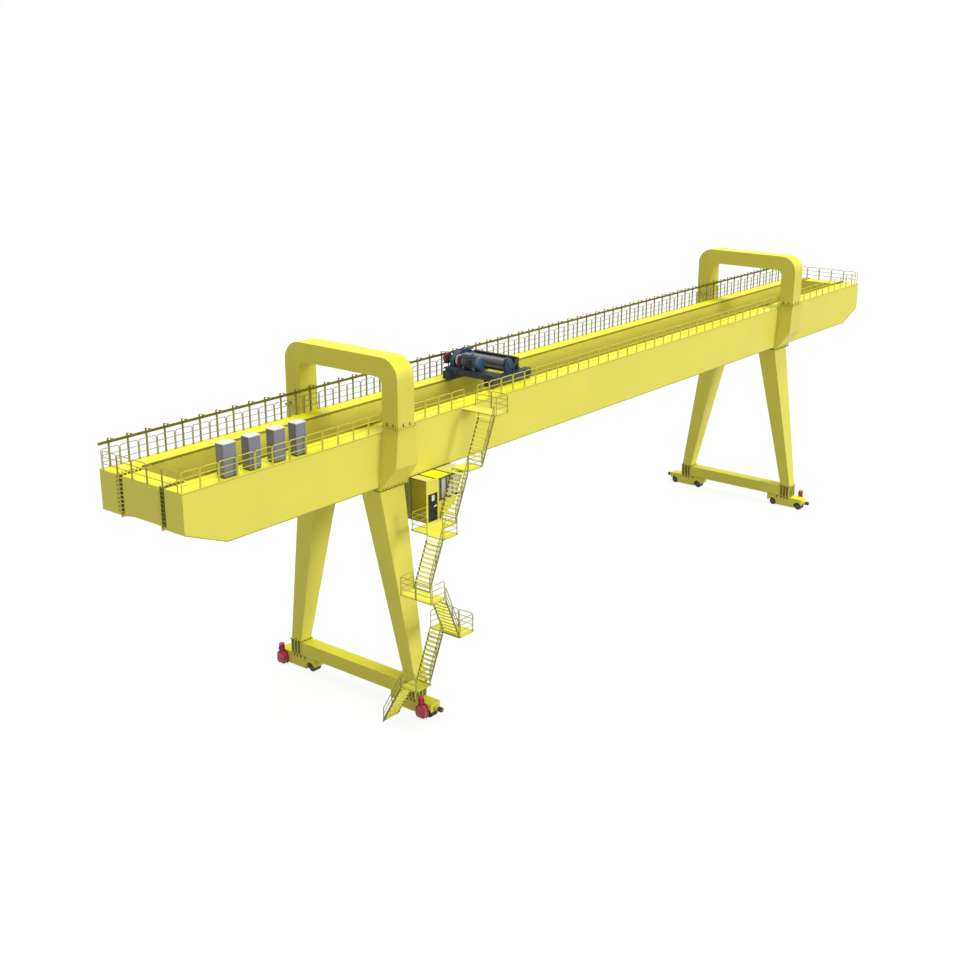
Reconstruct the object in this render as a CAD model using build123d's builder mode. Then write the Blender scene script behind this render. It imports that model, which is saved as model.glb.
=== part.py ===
# Double-girder gantry crane with a hoist trolley, built as a 1:2 scale model.
# Sizes below are the real ones in millimetres times SCALE. +X runs along the girders,
# the operator's side is -Y, +Z is up, and the wheels stand on Z = 0 at mid-span.
from build123d import *
import os

os.makedirs("parts", exist_ok=True)

# Driving dimensions
SCALE = 0.5
HALF_LENGTH = 38080 * SCALE
GIRDER_TOP = 16726 * SCALE
GIRDER_DEPTH = 3142 * SCALE
GIRDER_END_DEPTH = 2118 * SCALE
GIRDER_KNEE = 2582 * SCALE
GIRDER_OUTER = 3200 * SCALE
GIRDER_INNER = 1610 * SCALE
END_TIE_LENGTH = 1344 * SCALE
TIE_RISE = 135 * SCALE
TIE_FLANGE = 70 * SCALE
TIE_RIB_LENGTH = 230 * SCALE
TIE_RIBS = 9
TIE_TOP_RIBS = 6
PORTAL_X = 23500 * SCALE

ARCH_HALF_WIDTH = 673 * SCALE
ARCH_OUTER = 4365 * SCALE
ARCH_INNER = 3206 * SCALE
ARCH_FOOT = 17072 * SCALE
ARCH_UNDERSIDE = 19792 * SCALE
ARCH_TOP = 20899 * SCALE
ARCH_OUTER_RADIUS = 1180 * SCALE
ARCH_INNER_RADIUS = 430 * SCALE
FLANGE = 60 * SCALE
FLANGE_LIP = 70 * SCALE
BRACKET_KNEE_Z = 14816 * SCALE
BRACKET_KNEE_HALF_X = 896 * SCALE
BRACKET_FOOT_HALF_X = 1090 * SCALE
BRACKET_FOOT_OUTER = 3330 * SCALE

SADDLE_BOTTOM = 13462 * SCALE
LEG_HEAD = 13382 * SCALE
LEG_HEAD_HALF_X = 998 * SCALE
LEG_HEAD_OUTER = 3200 * SCALE
LEG_HEAD_INNER = 1683 * SCALE
LEG_FOOT_HALF_X = 429 * SCALE
LEG_FOOT_OUTER = 5133 * SCALE
LEG_FOOT_INNER = 4307 * SCALE

SILL_TOP = 1846 * SCALE
SILL_BOTTOM = 976 * SCALE
SILL_END = 5203 * SCALE
SILL_HALF_X = 442 * SCALE
RIB = 40 * SCALE
RIB_DEPTH = 70 * SCALE

BOGIE_INNER = 3150 * SCALE
BOGIE_OUTER = 6250 * SCALE
BOGIE_NOTCH_Y = (3400 * SCALE, 6150 * SCALE)
BOGIE_NOTCH_TOP = 450 * SCALE
BOGIE_TOP = 940 * SCALE
BOGIE_BOTTOM = 150 * SCALE
BOGIE_HALF_X = 416 * SCALE
WHEEL_RADIUS = 304 * SCALE
WHEEL_HALF_WIDTH = 240 * SCALE
WHEEL_WELL = 350 * SCALE
WHEEL_WEB = 30 * SCALE
WHEEL_Y = (3632 * SCALE, 5910 * SCALE)
AXLE_RADIUS = 70 * SCALE
PLAY = 15 * SCALE
BUFFER_RADIUS = 120 * SCALE
BUFFER_Z = 630 * SCALE
BUFFER_TIP = 6750 * SCALE
DRIVE_Y = (-5700 * SCALE, 5880 * SCALE)

RAIL_Y = 1700 * SCALE
RAIL_HEIGHT = 120 * SCALE
RAIL_HALF_WIDTH = 40 * SCALE
RAIL_HALF_LENGTH = 36600 * SCALE

PANEL = 1170 * SCALE
PANELS = 65
GATE_PANEL = 18
END_PANELS = 5
END_PANEL = 1164 * SCALE
RAILING_HEIGHT = 1040 * SCALE
BAR = 50 * SCALE
RAILING_Y = 3110 * SCALE
TRACK_HEIGHT = 1360 * SCALE
TRACK_DEPTH = 110 * SCALE
TRACK_WIDTH = 60 * SCALE
TRACK_Y = 3120 * SCALE
TRACK_POST = 90 * SCALE
CABINET_Y = (-2928 * SCALE, -2368 * SCALE)
CABINET_HEIGHT = 1760 * SCALE
CABINET_ROOF = 40 * SCALE
CABINET_X = ((-35219, -34397), (-33558, -32794), (-31885, -31107), (-30362, -29648))

PLATE = 60 * SCALE
STRINGER = 50 * SCALE
STRINGER_DEPTH = 220 * SCALE
TREAD = 40 * SCALE
TREAD_DEPTH = 230 * SCALE
TREADS = 11
STAIR_RAILS = (480 * SCALE, 830 * SCALE)
CORNER_GAP = 60 * SCALE
LANDING_Z = (2774 * SCALE, 5549 * SCALE, 8320 * SCALE, 11094 * SCALE, 13869 * SCALE, 16640 * SCALE)
GROUND_STEP = 60 * SCALE
STAIR_EDGE = -8064 * SCALE

CAB_WALL = 60 * SCALE
CAB_Y = (-4480 * SCALE, -2200 * SCALE)
CAB_SIDE = ((-22050, 11078), (-20800, 11078), (-19571, 11693), (-19014, 12953), (-18500, 13584),
            (-22050, 13584))
DOOR_X = (-21856 * SCALE, -21152 * SCALE)
DOOR_Z = (11138 * SCALE, 12700 * SCALE)
DOOR_PLAY = 12 * SCALE
PANE = 20 * SCALE
SMALL_WINDOW = ((-20928, 12250), (-20352, 12250), (-20352, 13440), (-20928, 13440))
SIDE_WINDOW = ((-20250, 12250), (-19460, 12250), (-19150, 12950), (-18790, 13440), (-20250, 13440))

TROLLEY_X = -10944 * SCALE
TROLLEY_HALF = 2096 * SCALE
CARRIAGE_Y = (1408 * SCALE, 1920 * SCALE)
CARRIAGE_Z = (GIRDER_TOP + 154 * SCALE, GIRDER_TOP + 650 * SCALE)
TROLLEY_WHEEL_X = 1840 * SCALE
TROLLEY_WHEEL_RADIUS = 200 * SCALE
TROLLEY_FLANGE_RADIUS = 225 * SCALE
TROLLEY_TREAD = 50 * SCALE
TROLLEY_WHEEL_HALF_WIDTH = 85 * SCALE
CLEARANCE = 20 * SCALE
CROSSBEAM_Z = (GIRDER_TOP + 480 * SCALE, GIRDER_TOP + 832 * SCALE)
HOIST_BASE = GIRDER_TOP + 832 * SCALE
MOTOR_BEAM_X = (-12800 * SCALE, -11952 * SCALE)
MOTOR_BEAM_HALF_LENGTH = 1850 * SCALE
GUARD_BEAM_X = (-10240 * SCALE, -9408 * SCALE)
DECK_BOTTOM = HOIST_BASE - 72 * SCALE
DECK_END = -9990 * SCALE
DECK_Y = 2050 * SCALE
WHEEL_COVER = 40 * SCALE
WHEEL_COVER_RADIUS = 140 * SCALE

DRUM_X = -10656 * SCALE
DRUM_Z = GIRDER_TOP + 1136 * SCALE
DRUM_RADIUS = 350 * SCALE
DRUM_FLANGE_RADIUS = 410 * SCALE
DRUM_Y = (-1320 * SCALE, 1560 * SCALE)
DRUM_SHAFT = 90 * SCALE
SHAFT_PLAY = 12 * SCALE
PEDESTAL_Y = (-1540 * SCALE, -1408 * SCALE)
GUARD_X = (-9980 * SCALE, -9800 * SCALE)
GUARD_END = 1900 * SCALE
GUARD_TOP = GIRDER_TOP + 1470 * SCALE
GUARD_POST = 100 * SCALE
GEARBOX_X = (-12300 * SCALE, -10080 * SCALE)
GEARBOX_Y = (1600 * SCALE, 2000 * SCALE)
GEARBOX_CROWN = (-11190 * SCALE, GIRDER_TOP + 1780 * SCALE)
GEARBOX_FLANGE = 80 * SCALE
MOTOR_X = -12160 * SCALE
MOTOR_Z = GIRDER_TOP + 1280 * SCALE
MOTOR_RADIUS = 370 * SCALE
MOTOR_Y = (-480 * SCALE, 896 * SCALE)
BRAKE_X = (-12380 * SCALE, -11900 * SCALE)
BRAKE_TOP = MOTOR_Z + 360 * SCALE
BRAKE_CHAMFER = 90 * SCALE

# The stairs reach out further in front than the buffers do behind, and the frame's
# origin is under the middle of the whole plan.
PLAN_MIDDLE = (STAIR_EDGE + BUFFER_TIP) / 2


def block(x0, x1, y0, y1, z0, z1):
    """A box between two corners."""
    with BuildPart() as made:
        with BuildSketch(Plane.XY.offset(z0)):
            with Locations(((x0 + x1) / 2, (y0 + y1) / 2)):
                Rectangle(abs(x1 - x0), abs(y1 - y0))
        extrude(amount=z1 - z0)
    return made.part


def across(points, y0, y1):
    """A prism between two Y planes over an outline of x, z points."""
    with BuildPart() as made:
        with BuildSketch(Plane.XZ.offset(-y1)):
            with BuildLine():
                Polyline(*points, close=True)
            make_face()
        extrude(amount=y1 - y0)
    return made.part


def scaled(points):
    """Real plan or side points as model points."""
    return [(a * SCALE, b * SCALE) for a, b in points]


def disc(x, z, radius, y0, y1):
    """A round piece about an axis across the crane."""
    with BuildPart() as made:
        with BuildSketch(Plane.XZ.offset(-y1)):
            with Locations((x, z)):
                Circle(radius)
        extrude(amount=y1 - y0)
    return made.part


def save(shape, name):
    """Places a finished subcomponent in the frame, names it and writes its STEP file."""
    placed = shape.moved(Location((0, -PLAN_MIDDLE, 0)))
    placed.label = name
    export_step(placed, f"parts/{name}.step")


def group(pieces):
    """Pieces that don't touch, kept as separate solids of one subcomponent."""
    with BuildPart() as made:
        for piece in pieces:
            add(piece)
    return made.part


def girder(side):
    """A tapered box girder: its underside rises towards both ends."""
    low = GIRDER_TOP - GIRDER_DEPTH
    end = GIRDER_TOP - GIRDER_END_DEPTH
    knee = HALF_LENGTH - GIRDER_KNEE
    with BuildPart() as made:
        with BuildSketch(Plane.XZ.offset(-side * GIRDER_INNER)):
            with BuildLine():
                Polyline(
                    (-HALF_LENGTH, GIRDER_TOP), (HALF_LENGTH, GIRDER_TOP), (HALF_LENGTH, end),
                    (knee, low), (-knee, low), (-HALF_LENGTH, end), close=True,
                )
            make_face()
        extrude(amount=-side * (GIRDER_OUTER - GIRDER_INNER))
    return made.part


def end_tie(end):
    """The cross box that joins the girders at one end, with a ribbed flange at each girder."""
    bottom = GIRDER_TOP - GIRDER_END_DEPTH
    outer = end * HALF_LENGTH
    inner = end * (HALF_LENGTH - END_TIE_LENGTH)
    with BuildPart() as made:
        add(block(inner, outer, -GIRDER_INNER, GIRDER_INNER, bottom + TIE_RISE, GIRDER_TOP))
        for side in (-1, 1):
            flange = side * GIRDER_INNER
            add(block(inner, outer + end * TIE_FLANGE, flange, flange - side * FLANGE,
                      bottom - TIE_FLANGE, GIRDER_TOP + TIE_FLANGE))
            ribs = flange - side * TIE_RIB_LENGTH
            for step in range(TIE_RIBS):
                z = bottom + TIE_RISE + (step + 0.5) * (GIRDER_END_DEPTH - TIE_RISE) / TIE_RIBS
                add(block(outer, outer + end * TIE_FLANGE, flange, ribs, z - RIB / 2, z + RIB / 2))
            for step in range(TIE_TOP_RIBS):
                x = inner + (step + 0.5) * (outer - inner) / TIE_TOP_RIBS
                add(block(x - RIB / 2, x + RIB / 2, flange, ribs, GIRDER_TOP, GIRDER_TOP + TIE_FLANGE))
    return made.part


def arch(x):
    """A rounded box arch over both girders, standing on two bolted flanges."""
    with BuildPart() as made:
        with BuildSketch(Plane.YZ.offset(x - ARCH_HALF_WIDTH)) as profile:
            with BuildLine():
                Polyline(
                    (-ARCH_OUTER, ARCH_FOOT), (-ARCH_OUTER, ARCH_TOP),
                    (ARCH_OUTER, ARCH_TOP), (ARCH_OUTER, ARCH_FOOT),
                    (ARCH_INNER, ARCH_FOOT), (ARCH_INNER, ARCH_UNDERSIDE),
                    (-ARCH_INNER, ARCH_UNDERSIDE), (-ARCH_INNER, ARCH_FOOT), close=True,
                )
            make_face()
            fillet([v for v in profile.vertices() if abs(v.Y - ARCH_TOP) < 1], ARCH_OUTER_RADIUS)
            fillet([v for v in profile.vertices() if abs(v.Y - ARCH_UNDERSIDE) < 1], ARCH_INNER_RADIUS)
        extrude(amount=2 * ARCH_HALF_WIDTH)
        with BuildSketch(Plane.XY.offset(ARCH_FOOT)):
            for side in (-1, 1):
                with Locations((x, side * (ARCH_OUTER + FLANGE_LIP + ARCH_INNER) / 2)):
                    Rectangle(2 * (ARCH_HALF_WIDTH + FLANGE_LIP), ARCH_OUTER + FLANGE_LIP - ARCH_INNER)
        extrude(amount=FLANGE)
    return made.part


def tapered(x, side, low, high):
    """A box tapered between two levels, each given as z, half x, inner y and outer y."""
    (low_z, low_half, low_inner, low_outer), (high_z, high_half, high_inner, high_outer) = low, high
    with BuildPart() as made:
        with BuildSketch(Plane.XZ):
            with BuildLine():
                Polyline((x - low_half, low_z), (x + low_half, low_z), (x + high_half, high_z),
                         (x - high_half, high_z), close=True)
            make_face()
        extrude(amount=2 * ARCH_OUTER, both=True)
        with BuildSketch(Plane.YZ.offset(x)):
            with BuildLine():
                Polyline((side * low_inner, low_z), (side * low_outer, low_z), (side * high_outer, high_z),
                         (side * high_inner, high_z), close=True)
            make_face()
        extrude(amount=2 * ARCH_OUTER, both=True, mode=Mode.INTERSECT)
    return made.part


def bracket(x, side):
    """The shoulder that carries an arch foot down the outside of a girder to the leg."""
    knee = (BRACKET_KNEE_Z, BRACKET_KNEE_HALF_X, GIRDER_OUTER, ARCH_OUTER)
    foot = (SADDLE_BOTTOM, BRACKET_FOOT_HALF_X, GIRDER_OUTER, BRACKET_FOOT_OUTER)
    head = (ARCH_FOOT - FLANGE, ARCH_HALF_WIDTH, GIRDER_OUTER, ARCH_OUTER)
    flange_outer = ARCH_OUTER + FLANGE_LIP
    with BuildPart() as made:
        add(tapered(x, side, knee, head))
        add(tapered(x, side, foot, knee))
        with BuildSketch(Plane.XY.offset(ARCH_FOOT - FLANGE)):
            with Locations((x, side * (GIRDER_OUTER + flange_outer) / 2)):
                Rectangle(2 * (ARCH_HALF_WIDTH + FLANGE_LIP), flange_outer - GIRDER_OUTER)
        extrude(amount=FLANGE)
    return made.part


def leg(x, side):
    """A leg that narrows and leans outwards from the girder to the sill beam."""
    foot_lip = 70 * SCALE
    head_lip = 80 * SCALE
    foot = (SILL_TOP + FLANGE, LEG_FOOT_HALF_X, LEG_FOOT_INNER, LEG_FOOT_OUTER)
    head = (LEG_HEAD, LEG_HEAD_HALF_X, LEG_HEAD_INNER, LEG_HEAD_OUTER)
    with BuildPart() as made:
        add(tapered(x, side, foot, head))
        with BuildSketch(Plane.XY.offset(SILL_TOP)):
            with Locations((x, side * (LEG_FOOT_INNER + LEG_FOOT_OUTER) / 2)):
                Rectangle(2 * (LEG_FOOT_HALF_X + foot_lip), LEG_FOOT_OUTER - LEG_FOOT_INNER + 2 * foot_lip)
        extrude(amount=FLANGE)
        with BuildSketch(Plane.XY.offset(LEG_HEAD)):
            with Locations((x, side * (LEG_HEAD_INNER - head_lip + BRACKET_FOOT_OUTER + head_lip) / 2)):
                Rectangle(2 * (BRACKET_FOOT_HALF_X + head_lip),
                          BRACKET_FOOT_OUTER + 2 * head_lip - LEG_HEAD_INNER)
        extrude(amount=SADDLE_BOTTOM - LEG_HEAD)
        with BuildSketch(Plane.XY.offset(SADDLE_BOTTOM)):
            with Locations((x, side * (GIRDER_INNER + GIRDER_OUTER) / 2)):
                Rectangle(2 * BRACKET_FOOT_HALF_X, GIRDER_OUTER - GIRDER_INNER)
        extrude(amount=GIRDER_TOP - GIRDER_DEPTH - SADDLE_BOTTOM)
    return made.part


def sill_beam(x):
    """The low beam that joins the two legs of a portal, ribbed under each leg."""
    with BuildPart() as made:
        add(block(x - SILL_HALF_X, x + SILL_HALF_X, -SILL_END, SILL_END, SILL_BOTTOM, SILL_TOP))
        for side in (-1, 1):
            for y in (4330, 4580, 4860, 5110):
                y = side * y * SCALE
                add(block(x - SILL_HALF_X - RIB_DEPTH, x + SILL_HALF_X + RIB_DEPTH,
                          y - RIB / 2, y + RIB / 2, SILL_BOTTOM, SILL_TOP))
            for rib_x in (-300, 0, 300):
                rib_x = x + rib_x * SCALE
                add(block(rib_x - RIB / 2, rib_x + RIB / 2, side * SILL_END,
                          side * (SILL_END + RIB_DEPTH), SILL_BOTTOM, SILL_TOP))
    return made.part


def bogie(x, side):
    """A two-wheel bogie frame: round wells for the wheels, each with a web that holds its axle."""
    with BuildPart() as made:
        with BuildSketch(Plane.YZ.offset(x - BOGIE_HALF_X)):
            with Locations((side * (BOGIE_INNER + BOGIE_OUTER) / 2, (BOGIE_BOTTOM + BOGIE_TOP) / 2)):
                Rectangle(BOGIE_OUTER - BOGIE_INNER, BOGIE_TOP - BOGIE_BOTTOM)
        extrude(amount=2 * BOGIE_HALF_X)
        hubs = [(side * y, WHEEL_RADIUS) for y in WHEEL_Y]
        for face in (-1, 1):
            with BuildSketch(Plane.YZ.offset(x + face * WHEEL_WEB)):
                with Locations(*hubs):
                    Circle(WHEEL_WELL)
            extrude(amount=face * BOGIE_HALF_X, mode=Mode.SUBTRACT)
        with BuildSketch(Plane.YZ.offset(x)):
            with Locations(*hubs):
                Circle(AXLE_RADIUS + PLAY)
        extrude(amount=BOGIE_HALF_X, both=True, mode=Mode.SUBTRACT)
        for y0, y1 in zip((BOGIE_INNER, BOGIE_OUTER), BOGIE_NOTCH_Y):
            add(block(x - BOGIE_HALF_X, x + BOGIE_HALF_X, side * y0, side * y1, BOGIE_BOTTOM,
                      BOGIE_NOTCH_TOP), mode=Mode.SUBTRACT)
        add(block(x - 350 * SCALE, x + 350 * SCALE, side * 3700 * SCALE, side * 5150 * SCALE,
                  BOGIE_TOP, SILL_BOTTOM))
    return made.part


def gantry_wheel(x, y):
    """A wheel in two halves on one axle."""
    inner = WHEEL_WEB + PLAY
    with BuildPart() as made:
        with BuildSketch(Plane.XZ):
            with BuildLine():
                Polyline(
                    (0, 0), (WHEEL_HALF_WIDTH, 0), (WHEEL_HALF_WIDTH, WHEEL_RADIUS),
                    (inner, WHEEL_RADIUS), (inner, AXLE_RADIUS), (0, AXLE_RADIUS), close=True,
                )
            make_face()
        revolve(axis=Axis.X)
        mirror(about=Plane.YZ)
    return Location((x, y, WHEEL_RADIUS)) * made.part


def travel_drive(x, y, face):
    """A gearbox bolted to the bogie at an outer wheel, with its motor standing on top."""
    near = x + face * BOGIE_HALF_X
    with BuildPart() as made:
        with BuildSketch(Plane.YZ.offset(near)):
            with BuildLine():
                Polyline(
                    (y - 270 * SCALE, 70 * SCALE), (y + 270 * SCALE, 70 * SCALE),
                    (y + 390 * SCALE, 300 * SCALE), (y + 350 * SCALE, 720 * SCALE),
                    (y + 190 * SCALE, 900 * SCALE), (y - 190 * SCALE, 900 * SCALE),
                    (y - 350 * SCALE, 720 * SCALE), (y - 390 * SCALE, 300 * SCALE), close=True,
                )
            make_face()
        extrude(amount=face * 380 * SCALE)
        with BuildSketch(Plane.XY.offset(880 * SCALE)):
            with Locations((near + face * 190 * SCALE, y)):
                Circle(180 * SCALE)
        extrude(amount=560 * SCALE)
    return made.part


def buffer(x, side):
    """A rubber-nosed end buffer."""
    with BuildPart() as made:
        with BuildSketch(Plane.XZ.offset(-side * BOGIE_OUTER)):
            with Locations((x, BUFFER_Z)):
                Circle(BUFFER_RADIUS)
        extrude(amount=-side * (BUFFER_TIP - BOGIE_OUTER))
    return made.part


def railing(start, along, panels, pitch, outward, height=RAILING_HEIGHT):
    """A flat railing: posts at the pitch given, a top rail and two lower rails."""
    length = panels * pitch
    plane = Plane(origin=start, x_dir=along, z_dir=Vector(*along).cross(Vector(0, 0, 1)))
    row = height / 3
    with BuildPart() as made:
        with BuildSketch(plane):
            with Locations((length / 2, height / 2)):
                Rectangle(length + BAR, height)
            with Locations((length / 2, row / 2 - BAR / 4)):
                with GridLocations(pitch, 1, panels, 1):
                    Rectangle(pitch - BAR, row - BAR / 2, mode=Mode.SUBTRACT)
            with Locations((length / 2, 2 * row - BAR / 4)):
                with GridLocations(pitch, row - BAR / 4, panels, 2):
                    Rectangle(pitch - BAR, row - BAR * 1.25, mode=Mode.SUBTRACT)
        extrude(amount=outward * BAR)
    return made.part


def flight(corner, along, run, rise, width, rail_side):
    """A steep stair from its right-hand foot corner: its stringers and its treads.

    The stringer on rail_side, -1 for right and 1 for left, carries a handrail.
    """
    upright = Plane(origin=corner, x_dir=along, z_dir=Vector(*along).cross(Vector(0, 0, 1)))
    level = Plane(origin=corner, x_dir=along, z_dir=(0, 0, 1))
    top = rise - STRINGER_DEPTH
    stringers = []
    for side, distance in ((-1, 0), (1, width - STRINGER)):
        bands = [(0, STRINGER_DEPTH)]
        posts = []
        if side == rail_side:
            bands += [(height, height + BAR) for height in STAIR_RAILS]
            posts = [BAR / 2, run / 2, run - BAR / 2]
        with BuildPart() as stringer:
            with BuildSketch(upright.offset(-distance)):
                for low, high in bands:
                    with BuildLine():
                        Polyline((0, low), (run, top + low), (run, top + high), (0, high), close=True)
                    make_face()
                for post in posts:
                    base = post / run * top + STRINGER_DEPTH / 2
                    tip = post / run * top + STAIR_RAILS[-1] + BAR / 2
                    with Locations((post, (base + tip) / 2)):
                        Rectangle(BAR, tip - base)
            extrude(amount=-STRINGER)
        stringers.append(stringer.part)

    treads = []
    for step in range(TREADS):
        share = (step + 0.5) / TREADS
        middle = min(max(share * run, TREAD_DEPTH / 2), run - TREAD_DEPTH / 2)
        with BuildPart() as tread:
            with BuildSketch(level.offset(share * top + STRINGER_DEPTH / 2)):
                with Locations((middle, width / 2)):
                    Rectangle(TREAD_DEPTH, width - 2 * STRINGER)
            extrude(amount=TREAD)
        treads.append(tread.part)
    return stringers, treads


def landing(points, z):
    """The floor plate of a landing, over an outline of real plan points."""
    with BuildPart() as made:
        with BuildSketch(Plane.XY.offset(z - PLATE)):
            with BuildLine():
                Polyline(*scaled(points), close=True)
            make_face()
        extrude(amount=PLATE)
    return made.part


def edge_railing(start, end, z):
    """A railing just inside a landing's edge, which has its outside on the right hand."""
    first, last = (Vector(*point) for point in scaled((start, end)))
    along = (last - first).normalized()
    length = (last - first).length - 2 * (BAR + CORNER_GAP)
    panels = max(1, round(length / PANEL))
    base = first + along * (BAR + CORNER_GAP)
    return railing((base.X, base.Y, z), (along.X, along.Y, 0), panels, length / panels, -1)


# Girders, end ties, arches and portals
save(girder(-1), "front_girder")
save(girder(1), "rear_girder")
brackets = []
buffers = []
for end, end_name in ((-1, "left"), (1, "right")):
    x = end * PORTAL_X
    save(end_tie(end), f"{end_name}_end_tie")
    save(arch(x), f"{end_name}_arch")
    save(sill_beam(x), f"{end_name}_sill_beam")
    for side, side_name in ((-1, "front"), (1, "rear")):
        brackets.append(bracket(x, side))
        buffers.append(buffer(x, side))
        save(leg(x, side), f"{end_name}_{side_name}_leg")
        save(bogie(x, side), f"{end_name}_{side_name}_bogie")
        for y, y_name in zip(WHEEL_Y, ("inner", "outer")):
            save(gantry_wheel(x, side * y), f"{end_name}_{side_name}_{y_name}_wheel")
save(group(brackets), "arch_brackets")
save(group(buffers), "bogie_buffers")
drives = [travel_drive(-PORTAL_X, DRIVE_Y[0], -1), travel_drive(-PORTAL_X, DRIVE_Y[1], -1),
          travel_drive(PORTAL_X, DRIVE_Y[0], 1)]
save(group(drives), "travel_drives")

# Trolley rails and everything else that stands on the girders
rails = [block(-RAIL_HALF_LENGTH, RAIL_HALF_LENGTH, side * RAIL_Y - RAIL_HALF_WIDTH,
               side * RAIL_Y + RAIL_HALF_WIDTH, GIRDER_TOP, GIRDER_TOP + RAIL_HEIGHT) for side in (-1, 1)]
save(group(rails), "trolley_rails")

railing_start = -PANELS * PANEL / 2
after_gate = PANELS - GATE_PANEL - 1
save(group([
    railing((railing_start, -RAILING_Y, GIRDER_TOP), (1, 0, 0), GATE_PANEL, PANEL, -1),
    railing((railing_start + (GATE_PANEL + 1) * PANEL, -RAILING_Y, GIRDER_TOP), (1, 0, 0),
            after_gate, PANEL, -1),
]), "front_handrail")
save(railing((railing_start, RAILING_Y, GIRDER_TOP), (1, 0, 0), PANELS, PANEL, 1), "rear_handrail")

end_start = -END_PANELS * END_PANEL / 2
save(group([
    railing((-HALF_LENGTH, end_start, GIRDER_TOP), (0, 1, 0), END_PANELS, END_PANEL, 1),
    railing((HALF_LENGTH, end_start, GIRDER_TOP), (0, 1, 0), END_PANELS, END_PANEL, -1),
]), "end_handrails")

with BuildPart() as cable_track:
    track_bottom = GIRDER_TOP + TRACK_HEIGHT - TRACK_DEPTH
    add(block(-HALF_LENGTH, HALF_LENGTH, TRACK_Y, TRACK_Y + TRACK_WIDTH, track_bottom,
              track_bottom + TRACK_DEPTH))
    with BuildSketch(Plane.XY.offset(GIRDER_TOP)):
        with Locations((0, TRACK_Y + TRACK_WIDTH / 2)):
            with GridLocations(PANEL, 1, PANELS, 1):
                Rectangle(TRACK_POST, TRACK_WIDTH)
    extrude(amount=TRACK_HEIGHT - TRACK_DEPTH)
save(cable_track.part, "cable_track")

cabinets = []
for x0, x1 in scaled(CABINET_X):
    with BuildPart() as cabinet:
        add(block(x0, x1, *CABINET_Y, GIRDER_TOP, GIRDER_TOP + CABINET_HEIGHT))
        add(block(x0 - CABINET_ROOF / 2, x1 + CABINET_ROOF / 2, CABINET_Y[0] - CABINET_ROOF / 2,
                  CABINET_Y[1] + CABINET_ROOF / 2, GIRDER_TOP + CABINET_HEIGHT - CABINET_ROOF,
                  GIRDER_TOP + CABINET_HEIGHT))
    cabinets.append(cabinet.part)
save(group(cabinets), "electrical_cabinets")

# Operator's cab, hung under the front girder
cab_points = scaled(CAB_SIDE)
knee, brow, roof_edge = cab_points[2:5]


def front_pane(low, high, thickness):
    """A sheet over one sloping front panel of the cab, centred in its wall."""
    rise = Vector(high[0] - low[0], 0, high[1] - low[1])
    middle = (Vector(low[0], CAB_Y[0], low[1]) + Vector(high[0], CAB_Y[1], high[1])) / 2
    outward = rise.cross(Vector(0, -1, 0)).normalized()
    plane = Plane(origin=middle - outward * CAB_WALL / 2, x_dir=rise, z_dir=outward)
    with BuildPart() as made:
        with BuildSketch(plane):
            Rectangle(rise.length - 3 * CAB_WALL, CAB_Y[1] - CAB_Y[0] - 4 * CAB_WALL)
        extrude(amount=thickness / 2, both=True)
    return made.part


def side_panes(y_middle, thickness):
    """The sheets over both windows of a side wall."""
    y0 = y_middle - thickness / 2
    return [across(scaled(window), y0, y0 + thickness) for window in (SMALL_WINDOW, SIDE_WINDOW)]


with BuildPart() as cab_housing:
    with BuildSketch(Plane.XZ.offset(-CAB_Y[1])):
        with BuildLine():
            Polyline(*cab_points, close=True)
        make_face()
    extrude(amount=CAB_Y[1] - CAB_Y[0])
    with BuildSketch(Plane.XZ.offset(-CAB_Y[1] + CAB_WALL)):
        with BuildLine():
            Polyline(*cab_points, close=True)
        make_face()
        offset(amount=-CAB_WALL, kind=Kind.INTERSECTION)
    extrude(amount=CAB_Y[1] - CAB_Y[0] - 2 * CAB_WALL, mode=Mode.SUBTRACT)
    add(block(*DOOR_X, CAB_Y[0] - CAB_WALL, CAB_Y[0] + 2 * CAB_WALL, *DOOR_Z), mode=Mode.SUBTRACT)
    for y in (CAB_Y[0] + CAB_WALL / 2, CAB_Y[1] - CAB_WALL / 2):
        for opening in side_panes(y, 2 * CAB_WALL):
            add(opening, mode=Mode.SUBTRACT)
    add(front_pane(knee, brow, 2 * CAB_WALL), mode=Mode.SUBTRACT)
    add(front_pane(brow, roof_edge, 2 * CAB_WALL), mode=Mode.SUBTRACT)
save(cab_housing.part, "cab_housing")

panes = side_panes(CAB_Y[0] + CAB_WALL / 2, PANE) + side_panes(CAB_Y[1] - CAB_WALL / 2, PANE)
panes += [front_pane(knee, brow, PANE), front_pane(brow, roof_edge, PANE)]
save(group(panes), "cab_windows")

with BuildPart() as cab_door:
    add(block(DOOR_X[0] + DOOR_PLAY, DOOR_X[1] - DOOR_PLAY, CAB_Y[0] - 10 * SCALE, CAB_Y[0] + 40 * SCALE,
              DOOR_Z[0] + DOOR_PLAY, DOOR_Z[1] - DOOR_PLAY))
    handle_x = DOOR_X[1] - 110 * SCALE
    handle_z = DOOR_Z[0] + 850 * SCALE
    add(block(handle_x - 25 * SCALE, handle_x + 25 * SCALE, CAB_Y[0] - 70 * SCALE, CAB_Y[0] - 10 * SCALE,
              handle_z - 25 * SCALE, handle_z + 25 * SCALE))
    add(block(handle_x - 280 * SCALE, handle_x + 25 * SCALE, CAB_Y[0] - 100 * SCALE,
              CAB_Y[0] - 70 * SCALE, handle_z - 25 * SCALE, handle_z + 25 * SCALE))
save(cab_door.part, "cab_door")

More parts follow.
